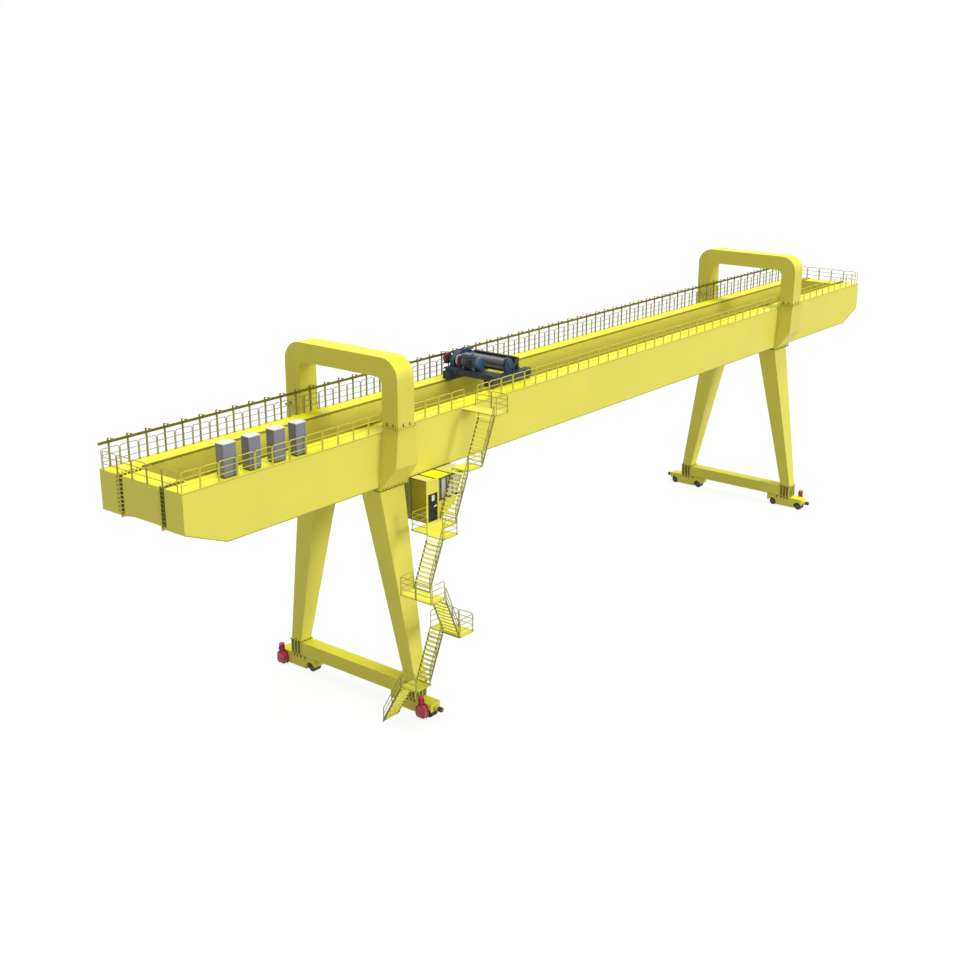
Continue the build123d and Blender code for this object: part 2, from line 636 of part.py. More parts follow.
# Stairs past the left front leg: right-hand foot corner, direction, foot level, run, width, rail side
L1, L2, L3, L4, L5, L6 = LANDING_Z
FLIGHTS = (
    ((-25904, -4352), (0, -1, 0), GROUND_STEP + PLATE, L1, 1408, 1264, -1),
    ((-24640, -6850), (1, 0, 0), L1, L2, 1152, 994, -1),
    ((-23488, -6880), (-1, 0, 0), L2, L3, 1152, 1184, 1),
    ((-24640, -6912), (1, 0, 0), L3, L4, 1152, 1152, -1),
    ((-20896, -5664), (1, 0, 0), L4, L5, 1120, 1179, -1),
    ((-18464, -5664), (1, 0, 0), L5, L6, 1120, 1184, -1),
)
stringers = []
treads = []
for plan, along, low, high, run, width, rail_side in FLIGHTS:
    foot = low - PLATE
    corner = (plan[0] * SCALE, plan[1] * SCALE, foot)
    sides, steps = flight(corner, along, run * SCALE, high - foot, width * SCALE, rail_side)
    stringers += sides
    treads += steps
save(group(stringers), "stair_stringers")
save(group(treads), "stair_treads")

LANDINGS = (
    (L1, ((-25904, -6944), (-24640, -6944), (-24640, -5760), (-25904, -5760))),
    (L2, ((-23488, -8064), (-22208, -8064), (-22208, -5856), (-23488, -5856))),
    (L3, ((-25824, -8064), (-24640, -8064), (-24640, -5760), (-25824, -5760))),
    (L4, ((-23488, -6944), (-22208, -6944), (-22208, -5728), (-20896, -5728), (-20896, -4480),
          (-23392, -4480), (-23392, -5728), (-23488, -5728))),
    (L5, ((-19776, -5664), (-18464, -5664), (-18464, -4448), (-19776, -4448))),
    (L6, ((-17344, -5728), (-16128, -5728), (-16128, -3200), (-17344, -3200))),
)
LANDING_RAILS = (
    (L1, ((-25904, -5760), (-25904, -6944)), ((-25904, -6944), (-24640, -6944))),
    (L2, ((-23488, -8064), (-22208, -8064)), ((-22208, -8064), (-22208, -5856)),
     ((-22208, -5856), (-23488, -5856))),
    (L3, ((-25824, -5760), (-25824, -8064)), ((-25824, -8064), (-24640, -8064)),
     ((-24640, -5760), (-25824, -5760))),
    (L4, ((-23392, -4480), (-23392, -5728)), ((-22050, -4480), (-23392, -4480)),
     ((-23488, -6944), (-22208, -6944)), ((-22208, -6944), (-22208, -5728))),
    (L5, ((-19776, -5664), (-18464, -5664))),
    (L6, ((-17344, -5728), (-16128, -5728)), ((-16128, -5728), (-16128, -3200))),
)
save(group([landing(points, z) for z, points in LANDINGS]), "stair_landings")
save(group([edge_railing(a, b, z) for z, *edges in LANDING_RAILS for a, b in edges]), "landing_handrails")

# Trolley frame: two wheel carriages, two crossbeams and a bedplate for the gearbox
wheel_z = GIRDER_TOP + RAIL_HEIGHT + TROLLEY_WHEEL_RADIUS
wheel_xs = (TROLLEY_X - TROLLEY_WHEEL_X, TROLLEY_X + TROLLEY_WHEEL_X)
well = TROLLEY_FLANGE_RADIUS + CLEARANCE
well_half_width = TROLLEY_WHEEL_HALF_WIDTH + CLEARANCE
with BuildPart() as trolley_frame:
    for side in (-1, 1):
        add(block(TROLLEY_X - TROLLEY_HALF, TROLLEY_X + TROLLEY_HALF, side * CARRIAGE_Y[0],
                  side * CARRIAGE_Y[1], *CARRIAGE_Z))
        for x in wheel_xs:
            cover_y = sorted((side * CARRIAGE_Y[1], side * (CARRIAGE_Y[1] + WHEEL_COVER)))
            add(disc(x, wheel_z, WHEEL_COVER_RADIUS, *cover_y))
    add(block(*MOTOR_BEAM_X, -MOTOR_BEAM_HALF_LENGTH, MOTOR_BEAM_HALF_LENGTH, *CROSSBEAM_Z))
    add(block(*GUARD_BEAM_X, -CARRIAGE_Y[0], CARRIAGE_Y[1], CROSSBEAM_Z[0], DECK_BOTTOM))
    add(block(MOTOR_BEAM_X[0], DECK_END, GEARBOX_Y[0], DECK_Y, DECK_BOTTOM, HOIST_BASE))
    add(block(MOTOR_BEAM_X[0], DECK_END, GEARBOX_Y[0], CARRIAGE_Y[1], CARRIAGE_Z[1], DECK_BOTTOM))
    for side in (-1, 1):
        for x in wheel_xs:
            add(block(x - well, x + well, side * RAIL_Y - well_half_width, side * RAIL_Y + well_half_width,
                      CARRIAGE_Z[0] - CLEARANCE, wheel_z + well), mode=Mode.SUBTRACT)
save(trolley_frame.part, "trolley_frame")


def trolley_wheel(x, side):
    """A wheel that runs on a trolley rail, with its flange on the inner side."""
    half = TROLLEY_WHEEL_HALF_WIDTH
    with BuildPart() as made:
        with BuildSketch(Plane.XZ):
            with BuildLine():
                Polyline(
                    (-half, 0), (-half, TROLLEY_WHEEL_RADIUS), (TROLLEY_TREAD, TROLLEY_WHEEL_RADIUS),
                    (TROLLEY_TREAD, TROLLEY_FLANGE_RADIUS), (half, TROLLEY_FLANGE_RADIUS), (half, 0),
                    close=True,
                )
            make_face()
        revolve(axis=Axis.X)
    return Location((x, side * RAIL_Y, wheel_z), (0, 0, -side * 90)) * made.part


for x, end_name in zip(wheel_xs, ("left", "right")):
    for side, side_name in ((-1, "front"), (1, "rear")):
        save(trolley_wheel(x, side), f"trolley_{end_name}_{side_name}_wheel")

# Hoist: drum between a pedestal and the gearbox, with the motor and brakes on a line beside it
with BuildPart() as hoist_drum:
    with BuildSketch(Plane.XZ):
        with BuildLine():
            Polyline(
                (DRUM_Y[0] - 200 * SCALE, 0), (DRUM_Y[0] - 200 * SCALE, DRUM_SHAFT),
                (DRUM_Y[0], DRUM_SHAFT), (DRUM_Y[0], DRUM_FLANGE_RADIUS),
                (DRUM_Y[0] + 60 * SCALE, DRUM_FLANGE_RADIUS), (DRUM_Y[0] + 60 * SCALE, DRUM_RADIUS),
                (DRUM_Y[1] - 60 * SCALE, DRUM_RADIUS), (DRUM_Y[1] - 60 * SCALE, DRUM_FLANGE_RADIUS),
                (DRUM_Y[1], DRUM_FLANGE_RADIUS), (DRUM_Y[1], DRUM_SHAFT),
                (DRUM_Y[1] + 160 * SCALE, DRUM_SHAFT), (DRUM_Y[1] + 160 * SCALE, 0), close=True,
            )
        make_face()
    revolve(axis=Axis.X)
save(Location((DRUM_X, 0, DRUM_Z), (0, 0, 90)) * hoist_drum.part, "hoist_drum")

with BuildPart() as drum_support:
    with BuildSketch(Plane.XZ.offset(-PEDESTAL_Y[1])):
        with BuildLine():
            Polyline(
                (DRUM_X - 420 * SCALE, CARRIAGE_Z[1]), (DRUM_X - 300 * SCALE, DRUM_Z + 80 * SCALE),
                (DRUM_X - 200 * SCALE, DRUM_Z + 300 * SCALE), (DRUM_X + 250 * SCALE, DRUM_Z + 300 * SCALE),
                (DRUM_X + 400 * SCALE, DRUM_Z + 60 * SCALE), (-9560 * SCALE, CARRIAGE_Z[1]), close=True,
            )
        make_face()
        with Locations((DRUM_X, DRUM_Z)):
            Circle(DRUM_SHAFT + SHAFT_PLAY, mode=Mode.SUBTRACT)
    extrude(amount=PEDESTAL_Y[1] - PEDESTAL_Y[0])
save(drum_support.part, "drum_support")

with BuildPart() as drum_guard:
    post_y = (PEDESTAL_Y[0] - GUARD_POST, PEDESTAL_Y[0] - CLEARANCE)
    add(block(*GUARD_X, PEDESTAL_Y[1], GUARD_END, DECK_BOTTOM, GUARD_TOP))
    add(block(*GUARD_X, *post_y, CARRIAGE_Z[1], GUARD_TOP))
    add(block(*GUARD_X, post_y[0], PEDESTAL_Y[1], GUARD_TOP - GUARD_POST, GUARD_TOP))
save(drum_guard.part, "drum_guard")

with BuildPart() as hoist_gearbox:
    with BuildSketch(Plane.XZ.offset(-GEARBOX_Y[1])):
        with BuildLine():
            Polyline((GEARBOX_X[0], MOTOR_Z), (GEARBOX_X[0], HOIST_BASE), (GEARBOX_X[1], HOIST_BASE),
                     (GEARBOX_X[1], MOTOR_Z))
            ThreePointArc((GEARBOX_X[1], MOTOR_Z), GEARBOX_CROWN, (GEARBOX_X[0], MOTOR_Z))
        make_face()
    extrude(amount=GEARBOX_Y[1] - GEARBOX_Y[0])
    add(block(GEARBOX_X[0] - GEARBOX_FLANGE, GEARBOX_X[1] + GEARBOX_FLANGE, *GEARBOX_Y,
              MOTOR_Z - GEARBOX_FLANGE, MOTOR_Z))
    add(disc(DRUM_X, DRUM_Z, DRUM_SHAFT + SHAFT_PLAY, GEARBOX_Y[0] - PLATE, GEARBOX_Y[0] + 3 * PLATE),
        mode=Mode.SUBTRACT)
save(hoist_gearbox.part, "hoist_gearbox")

with BuildPart() as hoist_motor:
    add(disc(MOTOR_X, MOTOR_Z, MOTOR_RADIUS, MOTOR_Y[0] + 200 * SCALE, MOTOR_Y[1]))
    add(disc(MOTOR_X, MOTOR_Z, MOTOR_RADIUS + 40 * SCALE, MOTOR_Y[0], MOTOR_Y[0] + 220 * SCALE))
    for y in (MOTOR_Y[0] + 320 * SCALE, MOTOR_Y[1] - 240 * SCALE):
        add(block(MOTOR_X - 330 * SCALE, MOTOR_X + 200 * SCALE, y, y + 160 * SCALE, HOIST_BASE, MOTOR_Z))
    add(block(MOTOR_X - 470 * SCALE, MOTOR_X, MOTOR_Y[0] + 560 * SCALE, MOTOR_Y[0] + 900 * SCALE,
              MOTOR_Z - 60 * SCALE, MOTOR_Z + 240 * SCALE))
    add(block(MOTOR_X - 260 * SCALE, MOTOR_X + 200 * SCALE, MOTOR_Y[1] - 620 * SCALE,
              MOTOR_Y[1] - 40 * SCALE, MOTOR_Z, MOTOR_Z + 520 * SCALE))
save(hoist_motor.part, "hoist_motor")

with BuildPart() as inner_brake:
    add(block(*BRAKE_X, 1000 * SCALE, 1400 * SCALE, HOIST_BASE, BRAKE_TOP))
    chamfer(inner_brake.edges().filter_by(Axis.Y).group_by(Axis.Z)[-1], BRAKE_CHAMFER)
    add(disc(MOTOR_X, MOTOR_Z, 330 * SCALE, 1400 * SCALE, 1480 * SCALE))
    add(disc(MOTOR_X, MOTOR_Z, DRUM_SHAFT, 1480 * SCALE, GEARBOX_Y[0]))
with BuildPart() as outer_brake:
    add(block(*BRAKE_X, GEARBOX_Y[1] + PLATE, GEARBOX_Y[1] + 400 * SCALE, MOTOR_Z - 320 * SCALE,
              BRAKE_TOP))
    chamfer(outer_brake.edges().filter_by(Axis.Y), BRAKE_CHAMFER)
    add(disc(MOTOR_X, MOTOR_Z, 290 * SCALE, GEARBOX_Y[1], GEARBOX_Y[1] + PLATE))
save(group([inner_brake.part, outer_brake.part]), "hoist_brakes")
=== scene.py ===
from math import asin, copysign, cos, pi, radians, sin, tau

import bmesh
import bpy
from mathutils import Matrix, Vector


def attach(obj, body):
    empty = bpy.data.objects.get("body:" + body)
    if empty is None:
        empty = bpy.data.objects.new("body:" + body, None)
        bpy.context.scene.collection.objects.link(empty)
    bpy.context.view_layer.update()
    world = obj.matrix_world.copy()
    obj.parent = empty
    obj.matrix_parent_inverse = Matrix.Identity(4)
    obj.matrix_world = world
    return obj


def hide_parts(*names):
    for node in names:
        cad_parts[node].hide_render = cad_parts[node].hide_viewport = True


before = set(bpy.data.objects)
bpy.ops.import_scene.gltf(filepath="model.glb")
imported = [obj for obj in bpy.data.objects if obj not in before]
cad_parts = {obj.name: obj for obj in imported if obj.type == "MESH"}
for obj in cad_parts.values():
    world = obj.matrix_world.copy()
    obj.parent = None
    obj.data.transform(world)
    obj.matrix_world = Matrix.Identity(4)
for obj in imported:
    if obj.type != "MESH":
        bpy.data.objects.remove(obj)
scene = bpy.context.scene
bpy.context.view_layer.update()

# Every size below is the real crane's, in millimetres, with y = 0 midway between the girders.
MODEL_SCALE = 0.0005
GIRDER_MIDDLE_Y = 0.3285
TOP = 16726
HALF_LENGTH = 38080
PORTAL_X = 23500
TROLLEY_X = -10944

WHOLE_LENGTH = (-HALF_LENGTH, HALF_LENGTH)
UP = Vector((0, 0, 1))
ALONG = {"x": Vector((1, 0, 0)), "y": Vector((0, 1, 0)), "z": UP}
BOX_FACES = ((0, 1, 3, 2), (4, 6, 7, 5), (0, 4, 5, 1), (2, 3, 7, 6), (0, 2, 6, 4), (1, 5, 7, 3))
SHARP_ANGLE = radians(32)
BEVEL_ANGLE = radians(40)


def about(middle, half):
    """A span to both sides of its middle."""
    return middle - half, middle + half


def over_top(low, high):
    """A span of heights over the girders' tops."""
    return TOP + low, TOP + high


def around(count, offset=0.0):
    """The cosine and sine of each of count even turns, the first of them offset steps on."""
    turns = [tau * (k + offset) / count for k in range(count)]
    return [(cos(turn), sin(turn)) for turn in turns]


def rectangle(xs, ys):
    """The corners of a rectangle, in order."""
    return [(xs[0], ys[0]), (xs[1], ys[0]), (xs[1], ys[1]), (xs[0], ys[1])]


def mirrored(right):
    """An outline made of its right half, from the bottom up, and the mirror image of that."""
    return right + [(-a, b) for a, b in reversed(right)]


def placed(outline, axis, level):
    """An outline's points in the plane across an axis, at one level along it."""
    at = "xyz".index(axis)
    return [(*point[:at], level, *point[at:]) for point in outline]


def skin(rings, count):
    """The faces between rings of count points that follow one another, closed at both ends."""
    faces = [tuple(range(count)), tuple(range((rings - 1) * count, rings * count))]
    for low in range(0, (rings - 1) * count, count):
        high = low + count
        for k in range(count):
            j = (k + 1) % count
            faces.append((low + k, low + j, high + j, high + k))
    return faces


class Form:
    """Solid shapes collected in one mesh, in real millimetres, that ride on one body."""

    def __init__(self, body="crane"):
        self.body = body
        self.points = []
        self.faces = []

    def add(self, points, faces):
        start = len(self.points)
        for x, y, z in points:
            self.points.append((x * MODEL_SCALE, y * MODEL_SCALE + GIRDER_MIDDLE_Y, z * MODEL_SCALE))
        self.faces += [[start + i for i in face] for face in faces]

    def box(self, xs, ys, zs):
        """A block between two corners."""
        self.add([(x, y, z) for x in sorted(xs) for y in sorted(ys) for z in sorted(zs)], BOX_FACES)

    def beam(self, start, end, width, depth, up=UP):
        """A rectangular bar from start to end, with its depth along up."""
        start, end = Vector(start), Vector(end)
        way = (end - start).normalized()
        side = way.cross(up).normalized() * width / 2
        rise = side.cross(way).normalized() * depth / 2
        corners = [base + s * side + r * rise for base in (start, end) for s in (-1, 1) for r in (-1, 1)]
        self.add(corners, BOX_FACES)

    def prism(self, outline, axis, low, high):
        """An outline in the plane across an axis, carried from low to high along it."""
        self.add(placed(outline, axis, low) + placed(outline, axis, high), skin(2, len(outline)))

    def ring(self, outer, inner, axis, low, high):
        """A flat frame between two outlines of as many points."""
        count = len(outer)
        faces = []
        for i in range(count):
            j = (i + 1) % count
            for a, b in ((0, 1), (2, 3), (0, 2), (1, 3)):
                faces.append((i + a * count, j + a * count, j + b * count, i + b * count))
        self.add(placed([*outer, *inner], axis, low) + placed([*outer, *inner], axis, high), faces)

    def lathe(self, profile, origin, axis, sides=24):
        """A round shape about an axis: its profile as distances along the axis and radii."""
        way = ALONG[axis] if isinstance(axis, str) else Vector(axis).normalized()
        across = way.orthogonal().normalized()
        other = way.cross(across)
        points = []
        for distance, radius in profile:
            centre = Vector(origin) + way * distance
            points += [centre + (across * c + other * s) * radius for c, s in around(sides)]
        self.add(points, skin(len(profile), sides))

    def disc(self, origin, axis, length, radius, sides=24, bevel=0):
        """A round bar from origin along an axis, with its rims broken by bevel."""
        profile = [(0, radius), (length, radius)]
        if bevel:
            rim = radius - bevel
            profile = [(0, rim), (bevel, radius), (length - bevel, radius), (length, rim)]
        self.lathe(profile, origin, axis, sides)

    def tube(self, points, radius, sides=6):
        """A round bar that follows a line of points, mitred where it turns."""
        path = [Vector(point) for point in points]
        ways = [(b - a).normalized() for a, b in zip(path, path[1:])]
        across = ways[0].orthogonal().normalized()
        rings = []
        for i, point in enumerate(path):
            before, after = ways[max(i - 1, 0)], ways[min(i, len(ways) - 1)]
            mitre = (before + after).normalized()
            other = before.cross(across)
            for c, s in around(sides, 0.5):
                offset = (across * c + other * s) * radius
                rings.append(point + offset - before * (offset.dot(mitre) / before.dot(mitre)))
            across = before.rotation_difference(after) @ across
        self.add(rings, skin(len(path), sides))

    def bolt(self, point, axis, size):
        """A hexagon head on a round washer."""
        self.lathe([(0, size * 0.75), (8, size * 0.75)], point, axis, 10)
        self.lathe([(8, size * 0.58), (size * 0.6, size * 0.58), (size * 0.66, size * 0.5)], point, axis, 6)

    def bolt_circle(self, centre, axis, radius, count, size, offset=0.0):
        """Bolts in a circle about a line along x or y."""
        x, y, z = centre
        for c, s in around(count, offset):
            spot = (x, y + radius * c, z + radius * s) if axis[0] else (x + radius * c, y, z + radius * s)
            self.bolt(spot, axis, size)

    def piece(self, name, material, slot, replaces=(), bevel=0):
        """Makes the mesh an object that rides on the form's body."""
        mesh = bpy.data.meshes.new(name)
        mesh.from_pydata(self.points, [], self.faces)
        shell = bmesh.new()
        shell.from_mesh(mesh)
        bmesh.ops.recalc_face_normals(shell, faces=shell.faces)
        shell.to_mesh(mesh)
        shell.free()
        mesh.shade_smooth()
        mesh.set_sharp_from_angle(angle=SHARP_ANGLE)
        made = bpy.data.objects.new(name, mesh)
        scene.collection.objects.link(made)
        mesh.materials.append(material)
        if bevel:
            edge = made.modifiers.new("edges", "BEVEL")
            edge.width = bevel * MODEL_SCALE
            edge.segments = 2
            edge.limit_method = "ANGLE"
            edge.angle_limit = BEVEL_ANGLE
        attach(made, self.body)
        if replaces:
            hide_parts(*replaces)


def block_piece(name, material, slot, blocks, body="crane", **more):
    """A piece made of blocks alone, each given by its spans along x, y and z."""
    form = Form(body)
    for xs, ys, zs in blocks:
        form.box(xs, ys, zs)
    form.piece(name, material, slot, **more)


# Materials
def add_node(tree, kind, **inputs):
    """A new node, with the inputs named here set."""
    node = tree.nodes.new(kind)
    for key, value in inputs.items():
        node.inputs[key.replace("_", " ")].default_value = value
    return node


def colour_over(tree, share, under, over):
    """Lays a fixed colour over a colour socket by a share, and returns the mixed colour's socket."""
    mix = tree.nodes.new("ShaderNodeMix")
    mix.data_type = "RGBA"
    mix.inputs[7].default_value = (*over, 1)
    tree.links.new(share, mix.inputs["Factor"])
    tree.links.new(under, mix.inputs[6])
    return mix.outputs[2]


def surface(name, colour, roughness, variation, patches, grain, bump,
            shine=0.5, metallic=0.0, coat=0.0, stain=None, stain_share=0.0, painted_top_shading=None):
    """A procedural finish: broad colour drift, uneven gloss, a fine bump, grime, and painted top shading: a
    colour for faces that turn up, standing in for the light from above.
    """
    material = bpy.data.materials.new(name)
    material.use_nodes = True
    tree = material.node_tree
    link = tree.links.new
    shader = tree.nodes["Principled BSDF"]
    shader.inputs["Metallic"].default_value = metallic
    shader.inputs["Coat Weight"].default_value = coat
    shader.inputs["Coat Roughness"].default_value = 0.12
    shader.inputs["Specular IOR Level"].default_value = shine
    place = tree.nodes.new("ShaderNodeTexCoord").outputs["Object"]

    drift = add_node(tree, "ShaderNodeTexNoise", Scale=patches, Detail=3.0, Roughness=0.55)
    link(place, drift.inputs["Vector"])
    tint = tree.nodes.new("ShaderNodeValToRGB")
    for element, position, change in zip(tint.color_ramp.elements, (0.3, 0.7), (-variation, variation)):
        element.position = position
        element.color = (*[min(1, c * (1 + change)) for c in colour], 1)
    link(drift.outputs["Fac"], tint.inputs["Fac"])
    paint = tint.outputs["Color"]

    fine = add_node(tree, "ShaderNodeTexNoise", Scale=grain, Detail=4.0, Roughness=0.6)
    link(place, fine.inputs["Vector"])
    if stain:
        blotch = add_node(tree, "ShaderNodeTexNoise", Scale=patches * 9, Detail=6.0, Roughness=0.7)
        link(place, blotch.inputs["Vector"])
        reach = add_node(tree, "ShaderNodeMapRange", From_Min=1 - stain_share, From_Max=1)
        link(blotch.outputs["Fac"], reach.inputs["Value"])
        paint = colour_over(tree, reach.outputs["Result"], paint, stain)
    # Painted light: faces blend to their own top colour by how far they turn up, standing in for the light
    # from above.
    if painted_top_shading:
        facing = tree.nodes.new("ShaderNodeNewGeometry")
        split = tree.nodes.new("ShaderNodeSeparateXYZ")
        link(facing.outputs["Normal"], split.inputs["Vector"])
        top_shading_share = add_node(tree, "ShaderNodeMapRange", From_Min=0.25, From_Max=0.85)
        link(split.outputs["Z"], top_shading_share.inputs["Value"])
        paint = colour_over(tree, top_shading_share.outputs["Result"], paint, painted_top_shading)
    link(paint, shader.inputs["Base Color"])

    gloss = add_node(tree, "ShaderNodeMapRange", To_Min=roughness * 0.85, To_Max=min(1, roughness * 1.2))
    link(fine.outputs["Fac"], gloss.inputs["Value"])
    link(gloss.outputs["Result"], shader.inputs["Roughness"])

    relief = add_node(tree, "ShaderNodeBump", Strength=bump, Distance=0.002)
    link(fine.outputs["Fac"], relief.inputs["Height"])
    link(relief.outputs["Normal"], shader.inputs["Normal"])
    return material


# Each finish has its name and colour, then its roughness, variation, patches, grain and bump.
# The top colours of these yellows are painted light: a brighter yellow on faces that turn up, standing in
# for the light from above.
yellow = surface("yellow_gloss_paint", (0.79, 0.735, 0.112), 0.38, 0.035, 0.35, 22, 0.03, shine=0.12,
                 painted_top_shading=(0.91, 0.88, 0.038))
deep_yellow = surface("yellow_portal_paint", (0.75, 0.69, 0.105), 0.38, 0.04, 0.5, 22, 0.03, shine=0.12,
                      painted_top_shading=(0.86, 0.83, 0.045))
plate_yellow = surface("yellow_plate_paint", (0.74, 0.71, 0.12), 0.42, 0.05, 1.6, 45, 0.08, shine=0.15,
                       painted_top_shading=(0.81, 0.785, 0.10))
# The treads are painted lighter than the girders' yellow, with a brighter top: painted light standing in for
# the light that the treads above shade off them.
lit_tread_yellow = surface("painted_light_tread_paint", (0.96, 0.94, 0.22), 0.42, 0.04, 1.6, 45, 0.06, shine=0.12,
                       painted_top_shading=(0.98, 0.96, 0.13))
# The nosings are painted pale: painted light on faces that sit in shade.
lit_nosing_yellow = surface("painted_light_nosing_paint", (1.0, 0.97, 0.42), 0.45, 0.03, 1.6, 45, 0.05, shine=0.1)
rail_yellow = surface("yellow_tube_paint", (0.64, 0.60, 0.06), 0.36, 0.06, 2, 60, 0.03, shine=0.3)
bright_yellow = surface("bright_roof_paint", (0.86, 0.84, 0.02), 0.42, 0.05, 1.6, 45, 0.05, shine=0.1)
olive = surface("olive_track_paint", (0.34, 0.32, 0.03), 0.45, 0.08, 1.2, 50, 0.05, shine=0.25)
# The rear railing is painted olive grey, darker than the front's yellow: painted shade on the same yellow
# railing.
shaded_rear_tube = surface("painted_shade_rear_tube_paint", (0.35, 0.34, 0.15), 0.4, 0.08, 2, 60, 0.03, shine=0.25)
# The stair and end railing tubes are painted darker than the front railing's yellow: painted shade on thin
# yellow tubes.
shaded_stair_tube = surface("painted_shade_tube_paint", (0.42, 0.40, 0.075), 0.38, 0.08, 2, 60, 0.03, shine=0.25)
# The stair channels and their handrails are painted dark olive: painted shade on yellow steel.
shaded_stair_channel = surface("painted_shade_channel_paint", (0.34, 0.325, 0.055), 0.42, 0.08, 2, 60, 0.03, shine=0.25)
# The girder lips are painted dark olive: painted shade on yellow plate edges.
shaded_lip_olive = surface("painted_shade_lip_paint", (0.36, 0.35, 0.085), 0.45, 0.06, 1, 50, 0.04, shine=0.15)
track_dark = surface("dark_track_paint", (0.26, 0.25, 0.075), 0.5, 0.1, 2, 60, 0.05, shine=0.25)
track_olive = surface("olive_beam_paint", (0.195, 0.18, 0.010), 0.5, 0.08, 1.2, 50, 0.05, shine=0.15)
# Dark joints and painted shade: joint lines, and dark colour where shade falls on gussets, sill panels,
# splice gaps and stair feet.
joint_and_shade_dark = surface("dark_joint_and_painted_shade_paint", (0.15, 0.14, 0.02), 0.5, 0.12, 3, 60, 0.08)
bolt_steel = surface("blackened_bolts", (0.07, 0.065, 0.045), 0.45, 0.15, 5, 80, 0.06, metallic=0.6)
hub_iron = surface("machined_hub_iron", (0.09, 0.09, 0.085), 0.5, 0.12, 5, 90, 0.08, metallic=0.3)
cast_iron = surface("cast_wheel_iron", (0.06, 0.058, 0.05), 0.55, 0.15, 6, 90, 0.12, metallic=0.3)
rubber = surface("buffer_rubber", (0.05, 0.05, 0.053), 0.75, 0.2, 5, 120, 0.15)
crimson = surface("crimson_drive_paint", (0.60, 0.045, 0.09), 0.34, 0.07, 3, 70, 0.06, coat=0.25)
cabinet_grey = surface("cabinet_grey_paint", (0.215, 0.215, 0.25), 0.45, 0.05, 1.5, 90, 0.05)
cabinet_white = surface("cabinet_pale_paint", (0.72, 0.72, 0.76), 0.45, 0.03, 1.5, 90, 0.04)
cab_pale = surface("cab_roof_pale_paint", (0.66, 0.65, 0.20), 0.4, 0.04, 2, 60, 0.04)
black_trim = surface("black_trim", (0.018, 0.018, 0.02), 0.5, 0.2, 4, 90, 0.08)
cab_green = surface("cab_grey_green_paint", (0.44, 0.46, 0.24), 0.42, 0.06, 2, 60, 0.04, shine=0.25)
cab_olive = surface("cab_dark_olive_paint", (0.36, 0.32, 0.025), 0.45, 0.1, 2, 60, 0.04, shine=0.25)
door_dark = surface("dark_door_gloss", (0.012, 0.012, 0.014), 0.24, 0.2, 3, 40, 0.02, shine=0.3)
# The door's pane is painted white: a painted reflection of the pale surroundings on glass.
reflection_white = surface("painted_reflection_pane", (0.74, 0.73, 0.78), 0.2, 0.05, 3, 40, 0.02)
handle_white = surface("white_handle", (0.8, 0.8, 0.8), 0.3, 0.03, 6, 90, 0.03)
# Its top colour is painted top shading: a darker navy on faces that turn up.
carriage_grey = surface("carriage_grey_paint", (0.055, 0.066, 0.078), 0.45, 0.12, 2, 60, 0.06, shine=0.25,
                        stain=(0.15, 0.15, 0.15), stain_share=0.3, painted_top_shading=(0.015, 0.024, 0.034))
navy = surface("navy_paint", (0.018, 0.04, 0.085), 0.38, 0.12, 2.5, 70, 0.06)
machine_blue = surface("machine_blue_paint", (0.018, 0.050, 0.085), 0.36, 0.12, 2.5, 70, 0.06, coat=0.1)
motor_grey = surface("motor_blue_grey_paint", (0.075, 0.118, 0.155), 0.36, 0.1, 2.5, 80, 0.06)
motor_cap = surface("motor_cap_blue", (0.018, 0.075, 0.145), 0.32, 0.08, 3, 80, 0.04)
maroon = surface("maroon_brake_paint", (0.15, 0.008, 0.025), 0.36, 0.12, 3, 70, 0.06)
brake_pale = surface("pale_brake_disc", (0.62, 0.62, 0.62), 0.35, 0.06, 4, 90, 0.05, metallic=0.3)
drum_steel = surface("drum_steel", (0.145, 0.142, 0.15), 0.42, 0.12, 3, 60, 0.06, metallic=0.55,
                     stain=(0.14, 0.12, 0.11), stain_share=0.5)
glazing = surface("lilac_glazing", (0.60, 0.58, 0.66), 0.06, 0.06, 3, 8, 0.01)
glazing.node_tree.nodes["Principled BSDF"].inputs["Alpha"].default_value = 0.84

NODE_FINISH = {
    "trolley_frame": carriage_grey, "drum_support": navy, "drum_guard": black_trim,
    "hoist_gearbox": machine_blue, "hoist_motor": motor_grey, "hoist_brakes": maroon,
    "hoist_drum": drum_steel, "electrical_cabinets": cabinet_grey, "cable_track": olive,
    "arch_brackets": deep_yellow,
    "left_arch": deep_yellow, "right_arch": deep_yellow, "bogie_buffers": rubber, "travel_drives": crimson,
    "cab_door": door_dark, "cab_windows": glazing,
}
for node_name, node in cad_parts.items():
    finish = cast_iron if node_name.endswith("_wheel") else NODE_FINISH.get(node_name, yellow)
    node.data.materials.clear()
    node.data.materials.append(finish)


# Railings
RAILING_HEIGHT = 1040
TUBE = 25
MID_TUBE = 20
POST_INSET = 34
CORNER = 120
CORNER_STEPS = 3
FOOT_REACH, FOOT_WIDTH, FOOT_THICKNESS = 95, 90, 12


def rail_panel(form, start, end):
    """One railing panel between two points on the floor: a bent tube with two mid rails."""
    way = (end - start).normalized()
    first, last = start + way * POST_INSET, end - way * POST_INSET
    bends = []
    for base, towards in ((first, way), (last, -way)):
        bend = []
        for k in range(CORNER_STEPS + 1):
            turn = pi / 2 * k / CORNER_STEPS
            rise = RAILING_HEIGHT - TUBE - CORNER + CORNER * sin(turn)
            bend.append(base + UP * rise + towards * CORNER * (1 - cos(turn)))
        bends.append(bend)
    form.tube([first, *bends[0], *reversed(bends[1]), last], TUBE)
    for share in (1 / 3, 2 / 3):
        lift = UP * (RAILING_HEIGHT * share)
        form.tube([first + lift, last + lift], MID_TUBE)


